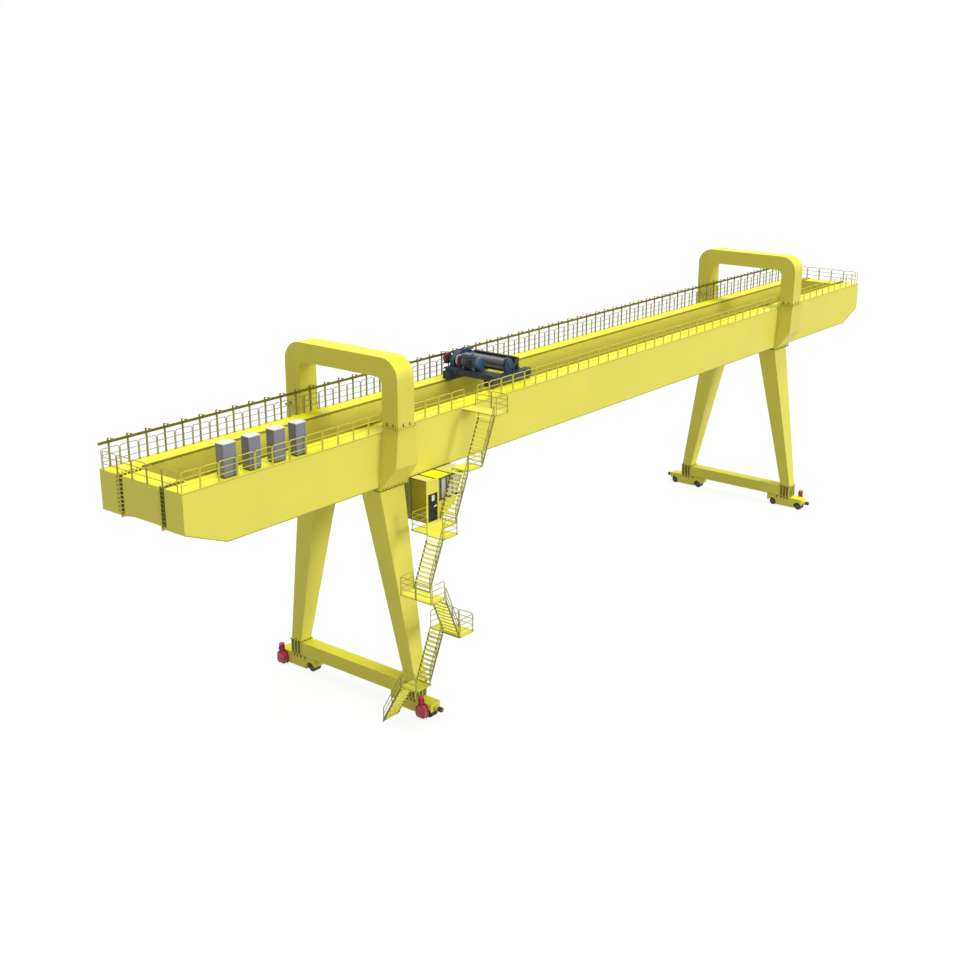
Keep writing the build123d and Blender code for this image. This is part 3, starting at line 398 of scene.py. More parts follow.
def rail_run(form, start, end, panels):
    """Railing panels end to end, with a foot plate under each pair of uprights."""
    start, end = Vector(start), Vector(end)
    step = (end - start) / panels
    reach = step.normalized() * FOOT_REACH
    for k in range(panels):
        rail_panel(form, start + step * k, start + step * (k + 1))
    for k in range(panels + 1):
        foot = start + step * k + UP * (FOOT_THICKNESS / 2)
        form.beam(foot - reach * (k > 0), foot + reach * (k < panels), FOOT_WIDTH, FOOT_THICKNESS)


PANEL = 1170
PANELS = 65
PANELS_BEFORE_GATE = 18
RAILING_Y = 3085
END_RAILING_X, END_RAILING_HALF = 38055, 2910
railing_end = PANELS * PANEL / 2
gate_left = PANELS_BEFORE_GATE * PANEL - railing_end

front = Form()
rail_run(front, (-railing_end, -RAILING_Y, TOP), (gate_left, -RAILING_Y, TOP), PANELS_BEFORE_GATE)
rail_run(front, (gate_left + PANEL, -RAILING_Y, TOP), (railing_end, -RAILING_Y, TOP),
         PANELS - PANELS_BEFORE_GATE - 1)
front.piece("front_railing_tubes", rail_yellow, "yellow_paint", ["front_handrail"])

rear = Form()
rail_run(rear, (-railing_end, RAILING_Y, TOP), (railing_end, RAILING_Y, TOP), PANELS)
rear.piece("rear_railing_tubes", shaded_rear_tube, "yellow_paint", ["rear_handrail"])

ends = Form()
for x in (-END_RAILING_X, END_RAILING_X):
    rail_run(ends, (x, -END_RAILING_HALF, TOP), (x, END_RAILING_HALF, TOP), 5)
ends.piece("end_railing_tubes", shaded_stair_tube, "yellow_paint", ["end_handrails"])

# Cable track: an I beam on posts, each with a hooked arm over the railing
TRACK_LOW, TRACK_HIGH = TOP + 1232, TOP + 1368
TRACK_FLANGE = 14
TRACK_YS = (3118, 3182)
block_piece("cable_track_beam", track_olive, "olive_paint", [
    (WHOLE_LENGTH, TRACK_YS, (TRACK_HIGH - TRACK_FLANGE, TRACK_HIGH)),
    (WHOLE_LENGTH, TRACK_YS, (TRACK_LOW, TRACK_LOW + TRACK_FLANGE)),
    (WHOLE_LENGTH, about(3150, 6), (TRACK_LOW + TRACK_FLANGE, TRACK_HIGH - TRACK_FLANGE)),
], replaces=["cable_track"])
posts = Form()
for k in range(PANELS):
    x = (k - (PANELS - 1) / 2) * PANEL
    # A channel section on a foot plate
    posts.box(about(x, 45), (3122, 3134), (TOP, TRACK_LOW))
    for flange in (-1, 1):
        posts.box((x + flange * 33, x + flange * 45), (3134, 3182), (TOP, TRACK_LOW))
    posts.box(about(x, 75), (3100, 3196), over_top(0, 16))
    # The hook round the beam, and its arm with a weight at the end
    posts.box(about(x, 45), (3182, 3200), (TRACK_LOW - 60, TRACK_HIGH + 130))
    posts.box(about(x, 45), (3120, 3200), (TRACK_HIGH + 96, TRACK_HIGH + 130))
    posts.beam((x, 3150, TRACK_HIGH + 122), (x, 2840, TRACK_HIGH + 160), 60, 14)
    posts.box(about(x, 50), (2780, 2900), (TRACK_HIGH + 62, TRACK_HIGH + 168))
posts.piece("cable_track_posts", track_dark, "olive_paint")

# Trolley rails: rolled rail section with clips
TROLLEY_RAIL_Y = 1700
RAIL_END = 36600
RAIL_SECTION = mirrored([(65, 0), (65, 14), (18, 34), (12, 82), (38, 92), (40, 114), (34, 120)])
CLIP_STEP = 600
CLIPS_EACH_WAY = 60
rails = Form()
clips = Form()
for middle in (-TROLLEY_RAIL_Y, TROLLEY_RAIL_Y):
    rails.prism([(middle + y, TOP + z) for y, z in RAIL_SECTION], "x", -RAIL_END, RAIL_END)
    for k in range(-CLIPS_EACH_WAY, CLIPS_EACH_WAY + 1):
        x = k * CLIP_STEP
        for lip in (-1, 1):
            y = middle + lip * 72
            clips.box(about(x, 40), about(y, 26), over_top(0, 30))
            clips.lathe([(0, 14), (26, 14)], (x, y + lip * 4, TOP + 30), "z", 6)
rails.piece("rail_sections", olive, "yellow_paint", ["trolley_rails"])
clips.piece("rail_clips", olive, "yellow_paint")

# Bolted flanges of the arches and legs, with gussets painted dark: painted shade on the yellow gussets
ARCH_FLANGE_TOP = 17132
GUSSET_RISE, GUSSET_REACH = 190, 66
LEG_HEAD_LOW, LEG_HEAD_HIGH = 13382, 13462
LEG_FOOT_TOP = 1906
joints = Form()
gussets = Form()


def bolt_rows(spots, z, way, size):
    """Bolts on a level flange, with their heads up where way is 1 and down where it is -1."""
    for x, y in spots:
        joints.bolt((x, y, z), (0, 0, way), size)


def gusset(near, way):
    """A triangle that stands on the arch flange against a face at near."""
    return [(near, ARCH_FLANGE_TOP), (near + way * GUSSET_REACH, ARCH_FLANGE_TOP),
            (near, ARCH_FLANGE_TOP + GUSSET_RISE)]


for x in (-PORTAL_X, PORTAL_X):
    for side in (-1, 1):
        arch_foot = [(x + face * 708, side * (3300 + k * 180)) for face in (-1, 1) for k in range(7)]
        arch_foot += [(x - 630 + k * 180, side * 4400) for k in range(8)]
        bolt_rows(arch_foot, ARCH_FLANGE_TOP, 1, 40)
        bolt_rows(arch_foot, ARCH_FLANGE_TOP - 120, -1, 40)
        for face in (-1, 1):
            for y in (3560, 4010):
                gussets.prism(gusset(x + face * 673, face), "y", *about(side * y, 30))
            gussets.prism(gusset(side * 4365, side), "x", *about(x + face * 260, 45))
        leg_head_outside = [(x - 900 + k * 225, side * 3370) for k in range(9)]
        leg_head_sides = [(x + face * 1130, side * (1690 + k * 185)) for face in (-1, 1) for k in range(10)]
        bolt_rows(leg_head_outside + leg_head_sides, LEG_HEAD_LOW, -1, 44)
        bolt_rows(leg_head_outside, LEG_HEAD_HIGH, 1, 44)
        leg_foot = [(x + face * 464, side * (4320 + k * 200)) for face in (-1, 1) for k in range(5)]
        leg_foot += [(x - 330 + k * 220, side * y) for y in (4272, 5168) for k in range(4)]
        bolt_rows(leg_foot, LEG_FOOT_TOP, 1, 40)
joints.piece("flange_bolts", bolt_steel, "yellow_paint")
gussets.piece("flange_gussets", joint_and_shade_dark, "olive_paint")

# Splices of the end ties: bolts in two rows, a dark strip of painted shade for the joint's gap, and ribs,
# over the end and the top
SPLICE_LOW = 14743
SPLICE_RISE = 1983
SPLICE_REACH = 1344
splice_levels = [SPLICE_LOW + (step + 0.5) * SPLICE_RISE / 9 for step in range(9)]
splice_reaches = [HALF_LENGTH - SPLICE_REACH + (step + 0.5) * SPLICE_REACH / 6 for step in range(6)]
splices = Form()
seams = Form()
splice_ribs = Form()
for end in (-1, 1):
    face_x = end * HALF_LENGTH
    for side, rows, strip in ((-1, (-1680, -1790), (-1850, -1612)), (1, (1500, 1430), (1385, 1548))):
        ribs = (side * 1610, side * 1835)
        seams.box((face_x, face_x + end * 8), strip, (SPLICE_LOW + 7, TOP))
        seams.box((end * (HALF_LENGTH - SPLICE_REACH), face_x), strip, over_top(0, 8))
        for z in splice_levels:
            splice_ribs.box((face_x, face_x + end * 62), ribs, about(z, 20))
            for y in rows:
                for bolt_z in about(z, 62):
                    splices.bolt((face_x, y, bolt_z), (end, 0, 0), 42)
        for reach in splice_reaches:
            splice_ribs.box(about(end * reach, 20), ribs, over_top(0, 62))
            for y in rows:
                for bolt_x in about(end * reach, 55):
                    splices.bolt((bolt_x, y, TOP), (0, 0, 1), 42)
        for y in (1545, 1611):
            splice_ribs.box((face_x, face_x + end * 72), (side * y, side * (y + 4)), (14640, TOP + 72))
splices.piece("splice_bolts", bolt_steel, "yellow_paint")

# Flange lips along the outer edges of the girders, painted dark olive: painted shade on the yellow lips
GIRDER_LOW = 13584
KNEE_X = 35498
GIRDER_END_LOW = 14608
LIP, LIP_DEPTH = 12, 42
lips = Form()
for y in (-3206, 3206):
    knees = [(end * KNEE_X, y, GIRDER_LOW + LIP_DEPTH / 2) for end in (-1, 1)]
    lips.beam(*knees, LIP, LIP_DEPTH)
    lips.beam((-HALF_LENGTH, y, TOP - 16), (HALF_LENGTH, y, TOP - 16), LIP, 32)
    for end, knee in zip((-1, 1), knees):
        lips.beam(knee, (end * HALF_LENGTH, y, GIRDER_END_LOW + LIP_DEPTH / 2), LIP, LIP_DEPTH)
lips.piece("girder_lips", shaded_lip_olive, "yellow_paint")


# Dark joints and painted shade: dark bands at the flange edges, and painted shade on the panels and wedges
# between the sill and bogie ribs
def edge_band(x, ys, half_x, zs):
    """A dark band around the edge of a flange, for its joint line and the shade in the gap."""
    low, high = sorted(ys)
    outer = rectangle(about(x, half_x + 4), (low - 4, high + 4))
    inner = rectangle(about(x, half_x - 8), (low + 8, high - 8))
    seams.ring(outer, inner, "z", *zs)


SILL_PANEL_ZS = (1010, 1812)
for x in (-PORTAL_X, PORTAL_X):
    for side in (-1, 1):
        edge_band(x, (side * 1603, side * 3410), 1170, (13390, 13454))
        edge_band(x, (side * 4237, side * 5203), 499, (1852, 1900))
        edge_band(x, (side * 3206, side * 4435), 743, (17062, 17082))
        for face in (-1, 1):
            near = x + face * 442
            for low, high in ((4352, 4558), (4602, 4838), (4882, 5088)):
                seams.box((near, near + face * 6), (side * low, side * high), SILL_PANEL_ZS)
            near = x + face * 416
            for y in (4050, 4430, 4720, 4985):
                wedge = [(side * (y - 105), 936), (side * (y + 105), 936), (side * y, 700)]
                seams.prism(wedge, "x", near, near + face * 14)
        for low, high in ((-430, -322), (-278, -22), (22, 278), (322, 430)):
            seams.box((x + low, x + high), (side * 5203, side * 5209), SILL_PANEL_ZS)
seams.piece("shaded_joint_seams", joint_and_shade_dark, "olive_paint")
splice_ribs.piece("splice_ribs", olive, "olive_paint")

# Hubs of the travel wheels
WHEEL_RADIUS = 304
HUB_FACE = 239
HUB_PROFILE = [(0, 150), (10, 150), (14, 120), (30, 112), (34, 90), (52, 84), (56, 40)]
RIM_PROFILE = [(0, 262), (7, 262), (9, 236), (0, 230)]
for end, end_name in ((-1, "left"), (1, "right")):
    for side, side_name in ((-1, "front"), (1, "rear")):
        for y, y_name in ((3632, "inner"), (5910, "outer")):
            wheel = f"{end_name}_{side_name}_{y_name}_wheel"
            hub = Form(wheel)
            for face in (-1, 1):
                x = end * PORTAL_X + face * HUB_FACE
                way = (face, 0, 0)
                hub.lathe(HUB_PROFILE, (x, side * y, WHEEL_RADIUS), way, 28)
                hub.lathe(RIM_PROFILE, (x, side * y, WHEEL_RADIUS), way, 36)
                hub.bolt_circle((x + face, side * y, WHEEL_RADIUS), way, 192, 6, 36)
            hub.piece(wheel + "_hub", hub_iron, "wheel_steel")

# Buffers: a bolted plate with a cup, a ribbed nose and its pale tip
BUFFER_Y, BUFFER_Z = 6250, 630
BUFFER_PLATE = 18
CUP_PROFILE = [(16, 182), (60, 182), (66, 170), (250, 166), (254, 150)]
NOSE_PROFILE = [(0, 140), (300, 144), (330, 148), (350, 138), (380, 148), (476, 148), (494, 136), (500, 118)]
cups = Form()
noses = Form()
nose_tips = Form()
for x in (-PORTAL_X, PORTAL_X):
    for side in (-1, 1):
        way = (0, side, 0)
        start = (x, side * BUFFER_Y, BUFFER_Z)
        plate_y = side * (BUFFER_Y + BUFFER_PLATE)
        cups.box(about(x, 190), (side * BUFFER_Y, plate_y), about(BUFFER_Z, 180))
        cups.lathe(CUP_PROFILE, start, way, 28)
        for bolt_x in about(x, 160):
            for bolt_z in about(BUFFER_Z, 150):
                cups.bolt((bolt_x, plate_y, bolt_z), way, 34)
        noses.lathe(NOSE_PROFILE, start, way, 28)
        nose_tips.lathe([(498, 62), (504, 58), (508, 40)], start, way, 20)
cups.piece("buffer_cups", deep_yellow, "yellow_paint")
noses.piece("buffer_noses", rubber, "buffer_rubber", ["bogie_buffers"])
nose_tips.piece("buffer_tips", cabinet_grey, "grey_paint")

# Travel drives: a stepped casing on the bogie's end, with an upright finned motor
DRIVE_FACE = PORTAL_X + 416
CASING_MIDDLE_Z = 485
CASING = mirrored([(270, 70), (350, 170), (390, 300), (378, 560), (350, 720), (275, 830), (190, 900)])
DRIVE_MOTOR_PROFILE = [(936, 146), (1330, 146), (1332, 182), (1352, 182), (1400, 172), (1428, 140),
                       (1440, 80)]
drives = Form()
drive_motors = Form()
drive_bolts = Form()
for end, y in ((-1, -5700), (-1, 5880), (1, -5700)):

    def out(distance):
        """An x that lies a distance out from the bogie's face."""
        return end * (DRIVE_FACE + distance)

    def casing(wide, tall):
        """The casing's outline, narrowed about its middle."""
        return [(y + a * wide, CASING_MIDDLE_Z + (b - CASING_MIDDLE_Z) * tall) for a, b in CASING]

    for wide, tall, low, high in ((1, 1, 0, 60), (0.93, 0.95, 60, 320), (0.8, 0.84, 320, 362)):
        drives.prism(casing(wide, tall), "x", out(low), out(high))
    for wide, tall, level, size in ((0.96, 0.97, 60, 46), (0.74, 0.78, 362, 34)):
        for bolt_y, bolt_z in casing(wide, tall):
            drive_bolts.bolt((out(level), bolt_y, bolt_z), (end, 0, 0), size)
    drives.lathe([(0, 130), (26, 130), (34, 118), (36, 60)], (out(358), y, 330), (end, 0, 0), 24)
    for z in (250, 480, 660):
        drives.box((out(60), out(312)), about(y, 376), (z, z + 22))
    middle = Vector((out(190), y, 0))
    drives.lathe([(880, 200), (916, 200), (918, 150), (940, 150)], middle, "z", 28)
    drive_bolts.lathe([(916, 192), (930, 192), (934, 150)], middle, "z", 28)
    drive_motors.lathe(DRIVE_MOTOR_PROFILE, middle, "z", 28)
    for c, s in around(20):
        radial = Vector((c, s, 0))
        low = middle + UP * 950 + radial * 156
        drive_motors.beam(low, low + UP * 370, 10, 44, up=radial)
    drive_motors.box(about(out(190), 70), (y + 130, y + 196), (1060, 1220))
drives.piece("drive_casings", crimson, "crimson_paint", ["travel_drives"], bevel=6)
drive_motors.piece("drive_motors", crimson, "crimson_paint")
drive_bolts.piece("drive_bolts", bolt_steel, "dark_paint")

# Operator's cab: roof panels and side cladding
CAB_LEFT = -22050
CAB_FRONT_Y, CAB_BACK_Y = -4480, -2210
CAB_MIDDLE_Y = -3300
CAB_ROOF = 13584
CLADDING_X = (CAB_LEFT - 8, CAB_LEFT)
CLADDING_ZS = (11100, 13560)
FRONT_ROOF_YS = (CAB_FRONT_Y + 2, CAB_MIDDLE_Y)
FRONT_ROOF_ZS = (CAB_ROOF, CAB_ROOF + 16)
cab_trim = Form()
for xs in ((-21420, -21270), (-20110, -19960)):
    cab_trim.box(xs, (CAB_FRONT_Y + 10, CAB_BACK_Y), (CAB_ROOF, CAB_ROOF + 10))
cab_trim.box((CAB_LEFT, -18510), (CAB_MIDDLE_Y, CAB_MIDDLE_Y + 90), (CAB_ROOF, CAB_ROOF + 14))
block_piece("cab_roof_panels", cab_pale, "yellow_paint", [
    (xs, FRONT_ROOF_YS, FRONT_ROOF_ZS) for xs in ((CAB_LEFT, -21420), (-19960, -18520))
], bevel=4)
block_piece("cab_roof_middle", bright_yellow, "yellow_paint", [
    ((-21270, -20110), FRONT_ROOF_YS, FRONT_ROOF_ZS),
    ((CAB_LEFT - 10, -18560), (CAB_FRONT_Y - 12, CAB_FRONT_Y), (CAB_ROOF - 60, CAB_ROOF + 4)),
], bevel=4)
block_piece("cab_side_rear", cab_green, "olive_paint", [
    (CLADDING_X, (CAB_MIDDLE_Y, CAB_BACK_Y - 5), CLADDING_ZS),
])
block_piece("cab_side_front", cab_olive, "olive_paint", [
    (CLADDING_X, (CAB_FRONT_Y + 15, CAB_MIDDLE_Y - 30), CLADDING_ZS),
])
for z in (CLADDING_ZS[0], CLADDING_ZS[1] - 20):
    cab_trim.box((CAB_LEFT - 16, CAB_LEFT), (CAB_FRONT_Y + 10, CAB_BACK_Y), (z, z + 26))
cab_trim.box((CAB_LEFT - 16, CAB_LEFT), (CAB_MIDDLE_Y - 30, CAB_MIDDLE_Y), CLADDING_ZS)

# Window frames, sills and drips on both sides of the cab, and bars over its sloping panes
WINDOW_LOW, WINDOW_HIGH = 12250, 13440
WINDOW_FRAME = 34
SMALL_WINDOW = rectangle((-20928, -20352), (WINDOW_LOW, WINDOW_HIGH))
SIDE_WINDOW = [(-20250, WINDOW_LOW), (-19460, WINDOW_LOW), (-19150, 12950), (-18790, WINDOW_HIGH),
               (-20250, WINDOW_HIGH)]
for y, way in ((CAB_FRONT_Y, -1), (-2200, 1)):
    for window in (SMALL_WINDOW, SIDE_WINDOW):
        middle_x = sum(a for a, b in window) / len(window)
        middle_z = sum(b for a, b in window) / len(window)
        grown = [(a + copysign(WINDOW_FRAME, a - middle_x), b + copysign(WINDOW_FRAME, b - middle_z))
                 for a, b in window]
        cab_trim.ring(grown, window, "y", y, y + way * 16)
        left, right = min(a for a, b in window) - 30, max(a for a, b in window)
        cab_trim.box((left, right + 30), (y, y + way * 40), (WINDOW_LOW - 80, WINDOW_LOW))
        cab_trim.box((left, right + 10), (y, y + way * 22), (WINDOW_HIGH, WINDOW_HIGH + 60))
    for xs in ((-20845, -20740), (-19790, -19755)):
        cab_trim.box(xs, (y - way * 40, y + way * 10), (WINDOW_LOW, WINDOW_HIGH))
PANE_LINE = [Vector((x, 0, z)) for x, z in ((-19571, 11693), (-19014, 12953), (-18500, CAB_ROOF))]
for low, high in zip(PANE_LINE, PANE_LINE[1:]):
    along = (high - low).normalized()
    outward = Vector((along.z, 0, -along.x))
    for share in (0.045, 0.955):
        start = low + (high - low) * share + outward * 6
        cab_trim.beam(start + Vector((0, -4400, 0)), start + Vector((0, -2280, 0)), 46, 22, up=outward)
    for y in (-4380, -3340, -2300):
        shift = outward * 6 + Vector((0, y, 0))
        cab_trim.beam(low + along * 60 + shift, high - along * 60 + shift, 44, 22, up=outward)

# The cab's door: a frame that leaves room for the leaf's swing, the leaf, its pane, painted white as a
# painted reflection of the pale surroundings, and lever
DOOR_LEFT, DOOR_RIGHT = -21856, -21152
DOOR_LOW, DOOR_HIGH = 11138, 12700
DOOR_SWING_GAP = 26
LEAF_Y = CAB_FRONT_Y - 10
frame_left = DOOR_LEFT - DOOR_SWING_GAP
cab_trim.ring(rectangle((frame_left - 30, DOOR_RIGHT + 40), (DOOR_LOW - 50, DOOR_HIGH + 40)),
              rectangle((frame_left, DOOR_RIGHT), (DOOR_LOW, DOOR_HIGH)), "y", CAB_FRONT_Y - 14, CAB_FRONT_Y)
cab_trim.piece("cab_trim", black_trim, "dark_paint")

door = Form("cab_door")
door.box((DOOR_LEFT + 12, DOOR_RIGHT - 12), (LEAF_Y, LEAF_Y + 50), (DOOR_LOW + 12, DOOR_HIGH - 12))
door.ring(rectangle((DOOR_LEFT + 40, DOOR_RIGHT - 40), (11180, 12220)),
          rectangle((DOOR_LEFT + 80, DOOR_RIGHT - 80), (11220, 12180)), "y", LEAF_Y - 8, LEAF_Y)
for z in (11360, 12280):
    door.disc((DOOR_LEFT + 11, CAB_FRONT_Y - 12, z), "z", 120, 8, 10)
door.piece("cab_door_leaf", door_dark, "dark_door", ["cab_door"], bevel=5)
block_piece("cab_door_pane", reflection_white, "window_glass", [
    ((DOOR_LEFT + 250, DOOR_RIGHT - 215), (LEAF_Y - 4, LEAF_Y + 2), (12300, 12640)),
], body="cab_door", bevel=3)
lever = Form("cab_door")
handle_x, handle_z = DOOR_RIGHT - 110, DOOR_LOW + 850
lever.lathe([(0, 42), (10, 42), (14, 22), (66, 22)], (handle_x, LEAF_Y, handle_z), (0, -1, 0), 16)
lever.tube([(handle_x, LEAF_Y - 66, handle_z), (handle_x - 40, LEAF_Y - 72, handle_z),
            (handle_x - 250, LEAF_Y - 72, handle_z - 8)], 30, 10)
lever.piece("cab_door_lever", handle_white, "grey_paint")

# Electrical cabinets: doors with hinges, vents and handles towards the walkway, and overhanging tops
CABINET_XS = ((-35219, -34397), (-33558, -32794), (-31885, -31107), (-30362, -29648))
CABINET_NEAR, CABINET_FAR = -2928, -2368
bodies = Form()
tops = Form()
trims = Form()
for x0, x1 in CABINET_XS:
    bodies.box((x0, x1), (CABINET_NEAR, CABINET_FAR), over_top(60, 1720))
    # A recessed black plinth under each body: painted shade at the cabinet's foot.
    trims.box((x0 + 30, x1 - 30), (CABINET_NEAR + 28, CABINET_FAR - 28), over_top(0, 60))
    tops.box((x0 - 20, x1 + 20), (CABINET_NEAR - 20, CABINET_FAR + 20), over_top(1720, 1760))
    tops.box((x0 + 10, x1 - 10), (CABINET_NEAR - 10, CABINET_FAR + 10), over_top(1700, 1720))
    middle = (x0 + x1) / 2
    for left, right in ((x0 + 25, middle - 6), (middle + 6, x1 - 25)):
        bodies.box((left, right), (CABINET_FAR, CABINET_FAR + 16), over_top(110, 1680))
        for vent in range(6):
            z = TOP + 220 + vent * 36
            trims.box((left + 60, right - 60), (CABINET_FAR + 15, CABINET_FAR + 21), (z, z + 14))
    trims.box((middle - 40, middle - 18), (CABINET_FAR + 16, CABINET_FAR + 46), over_top(820, 980))
    for z in (TOP + 250, TOP + 850, TOP + 1450):
        for x in (x0 + 22, x1 - 22):
            trims.disc((x, CABINET_FAR + 18, z), "z", 100, 10, 8)
    for xs in ((x0 - 6, x0), (x1, x1 + 6)):
        bodies.box(xs, (CABINET_NEAR + 48, CABINET_FAR - 48), over_top(130, 1660))
    bodies.box((x0 + 40, x1 - 40), (CABINET_NEAR - 6, CABINET_NEAR), over_top(130, 1660))
bodies.piece("cabinet_bodies", cabinet_grey, "grey_paint", ["electrical_cabinets"], bevel=6)
tops.piece("cabinet_tops", cabinet_white, "grey_paint", bevel=6)
trims.piece("cabinet_trims", black_trim, "dark_paint")

# Stairs: the levels of the foot and the landings, then each flight with its right-hand foot corner,
# direction, run, width and the side of its handrail
STAIR_LEVELS = (120, 2774, 5549, 8320, 11094, 13869, 16640)
FLIGHTS = (
    ((-25904, -4352), (0, -1), 1408, 1264, -1),
    ((-24640, -6850), (1, 0), 1152, 994, -1),
    ((-23488, -6880), (-1, 0), 1152, 1184, 1),
    ((-24640, -6912), (1, 0), 1152, 1152, -1),
    ((-20896, -5664), (1, 0), 1120, 1179, -1),
    ((-18464, -5664), (1, 0), 1120, 1184, -1),
)
# Each landing's outline, and the sides of it that have a railing
LANDINGS = (
    (rectangle((-25904, -24640), (-6944, -5760)), (3, 0)),
    (rectangle((-23488, -22208), (-8064, -5856)), (0, 1, 2)),
    (rectangle((-25824, -24640), (-8064, -5760)), (3, 0, 2)),
    ([(-23488, -6944), (-22208, -6944), (-22208, -5728), (-20896, -5728), (-20896, -4480),
      (-23392, -4480), (-23392, -5728), (-23488, -5728)], (5, 0, 1)),
    (rectangle((-19776, -18464), (-5664, -4448)), (0,)),
    (rectangle((-17344, -16128), (-5728, -3200)), (0, 1)),
)
PLATE = 60
STRINGER = 50
STRINGER_DEPTH = 220
STRINGER_WEB, STRINGER_FLANGE = 12, 16
TREADS = 11
TREAD_DEPTH = 215
GRIP = 870
MID_GRIP = 505
GRIP_BEND = 70

stringers = Form()
treads = Form()
nosings = Form()
foot_plates = Form()
for flight, low, high in zip(FLIGHTS, STAIR_LEVELS, STAIR_LEVELS[1:]):
    corner, along, run, width, rail_side = flight
    slope_rise = high - low + PLATE - STRINGER_DEPTH
    way = Vector((*along, 0))
    left = UP.cross(way)
    base = Vector((*corner, low - PLATE))

    def point(distance, sideways, height):
        """A place in the flight: along it, across it from the right and above its foot."""
        return base + way * distance + left * sideways + UP * height

    def slope(distance, height):
        """A height above the stringers' sloping lower edge."""
        return distance / run * slope_rise + height

    def slab(form, distances, across, heights):
        """A level block in the flight."""
        form.add([point(d, s, h) for d in distances for s in across for h in heights], BOX_FACES)

    for side, near in ((-1, 0), (1, width - STRINGER)):
        # The channel's web is on the outside and its flanges point to the treads
        web = (near, near + STRINGER_WEB) if side < 0 else (near + STRINGER - STRINGER_WEB, near + STRINGER)
        flange = (near, near + STRINGER)
        for across, heights in ((web, (0, STRINGER_DEPTH)), (flange, (0, STRINGER_FLANGE)),
                                (flange, (STRINGER_DEPTH - STRINGER_FLANGE, STRINGER_DEPTH))):
            corners = [point(d, s, slope(d, h)) for d in (0, run) for s in across for h in heights]
            stringers.add(corners, BOX_FACES)
        if side == rail_side:
            s = near + STRINGER / 2
            first, middle, last = TUBE, run / 2, run - TUBE
            foot = STRINGER_DEPTH / 2
            bend = GRIP_BEND * 0.35
            stringers.tube([
                point(first, s, foot),
                point(first, s, GRIP - GRIP_BEND),
                point(first + bend, s, slope(first, GRIP + 10)),
                point(last - bend, s, slope(last, GRIP - 40)),
                point(last, s, slope(last, GRIP - GRIP_BEND - 30)),
                point(last, s, slope_rise + foot),
            ], TUBE)
            stringers.tube([point(middle, s, slope(middle, h)) for h in (foot, GRIP - 20)], TUBE)
            stringers.tube([point(d, s, slope(d, MID_GRIP)) for d in (first, last)], MID_TUBE)
    slab(foot_plates, (-55, 0), (20, width - 20), (PLATE - 14, PLATE + 20))
    inside = (STRINGER, width - STRINGER)
    bar_span = (STRINGER + 30, width - STRINGER - 30)
    for step in range(TREADS):
        share = (step + 0.5) / TREADS
        level = share * slope_rise + STRINGER_DEPTH / 2
        near = min(max(share * run, TREAD_DEPTH / 2), run - TREAD_DEPTH / 2) - TREAD_DEPTH / 2
        far = near + TREAD_DEPTH
        slab(treads, (near, far), inside, (level + 28, level + 40))
        slab(nosings, (near, near + 14), inside, (level + 8, level + 28))
        slab(treads, (far - 14, far), inside, (level + 8, level + 28))
        # Raised bars across the walking face
        for k in range(4):
            bar = near + 33 + k * 46
            slab(treads, (bar, bar + 12), bar_span, (level + 40, level + 45))
stringers.piece("stair_channels", shaded_stair_channel, "yellow_paint", ["stair_stringers"])
treads.piece("stair_tread_plates", lit_tread_yellow, "yellow_paint", ["stair_treads"])
nosings.piece("stair_nosings", lit_nosing_yellow, "yellow_paint")
# The foot plates are painted dark: painted shadow along the foot of each flight.
foot_plates.piece("stair_foot_plates", joint_and_shade_dark, "olive_paint")

RAIL_INSET, RAIL_END_GAP = 25, 45
plates = Form()
edges = Form()
stair_rails = Form()


def landing_rail(start, end, z):
    """A railing along one side of a landing, inside its edge."""
    start, end = Vector((*start, z)), Vector((*end, z))
    way = (end - start).normalized()
    inward = UP.cross(way) * RAIL_INSET
    panels = max(1, round(((end - start).length - 140) / PANEL))
    rail_run(stair_rails, start + way * RAIL_END_GAP + inward, end - way * RAIL_END_GAP + inward, panels)


for (outline, railed), z in zip(LANDINGS, STAIR_LEVELS[1:]):
    plates.prism(outline, "z", z - 12, z)
    sides = list(zip(outline, outline[1:] + outline[:1]))
    # An edge channel under every side, and bearers across
    for start, end in sides:
        a, b = Vector((*start, 0)), Vector((*end, 0))
        inward = UP.cross((b - a).normalized())
        web, foot = inward * 6 + UP * (z - 36), inward * 25 + UP * (z - 55)
        edges.beam(a + web, b + web, 12, 48)
        edges.beam(a + foot, b + foot, 50, 10)
    if len(outline) == 4:
        (left, near), (right, far) = outline[0], outline[2]
        for k in range(1, 4):
            edges.box(about(left + k * (right - left) / 4, 6), (near + 12, far - 12), (z - 52, z - 12))
    for k in railed:
        landing_rail(*sides[k], z)
# The cab's landing is railed from the cab's left side on
landing_rail((CAB_LEFT, CAB_FRONT_Y), (-23392, CAB_FRONT_Y), STAIR_LEVELS[4])
plates.piece("landing_plates", plate_yellow, "yellow_paint", ["stair_landings"])
edges.piece("landing_edges", rail_yellow, "yellow_paint")
stair_rails.piece("stair_railing_tubes", shaded_stair_tube, "yellow_paint", ["landing_handrails"])

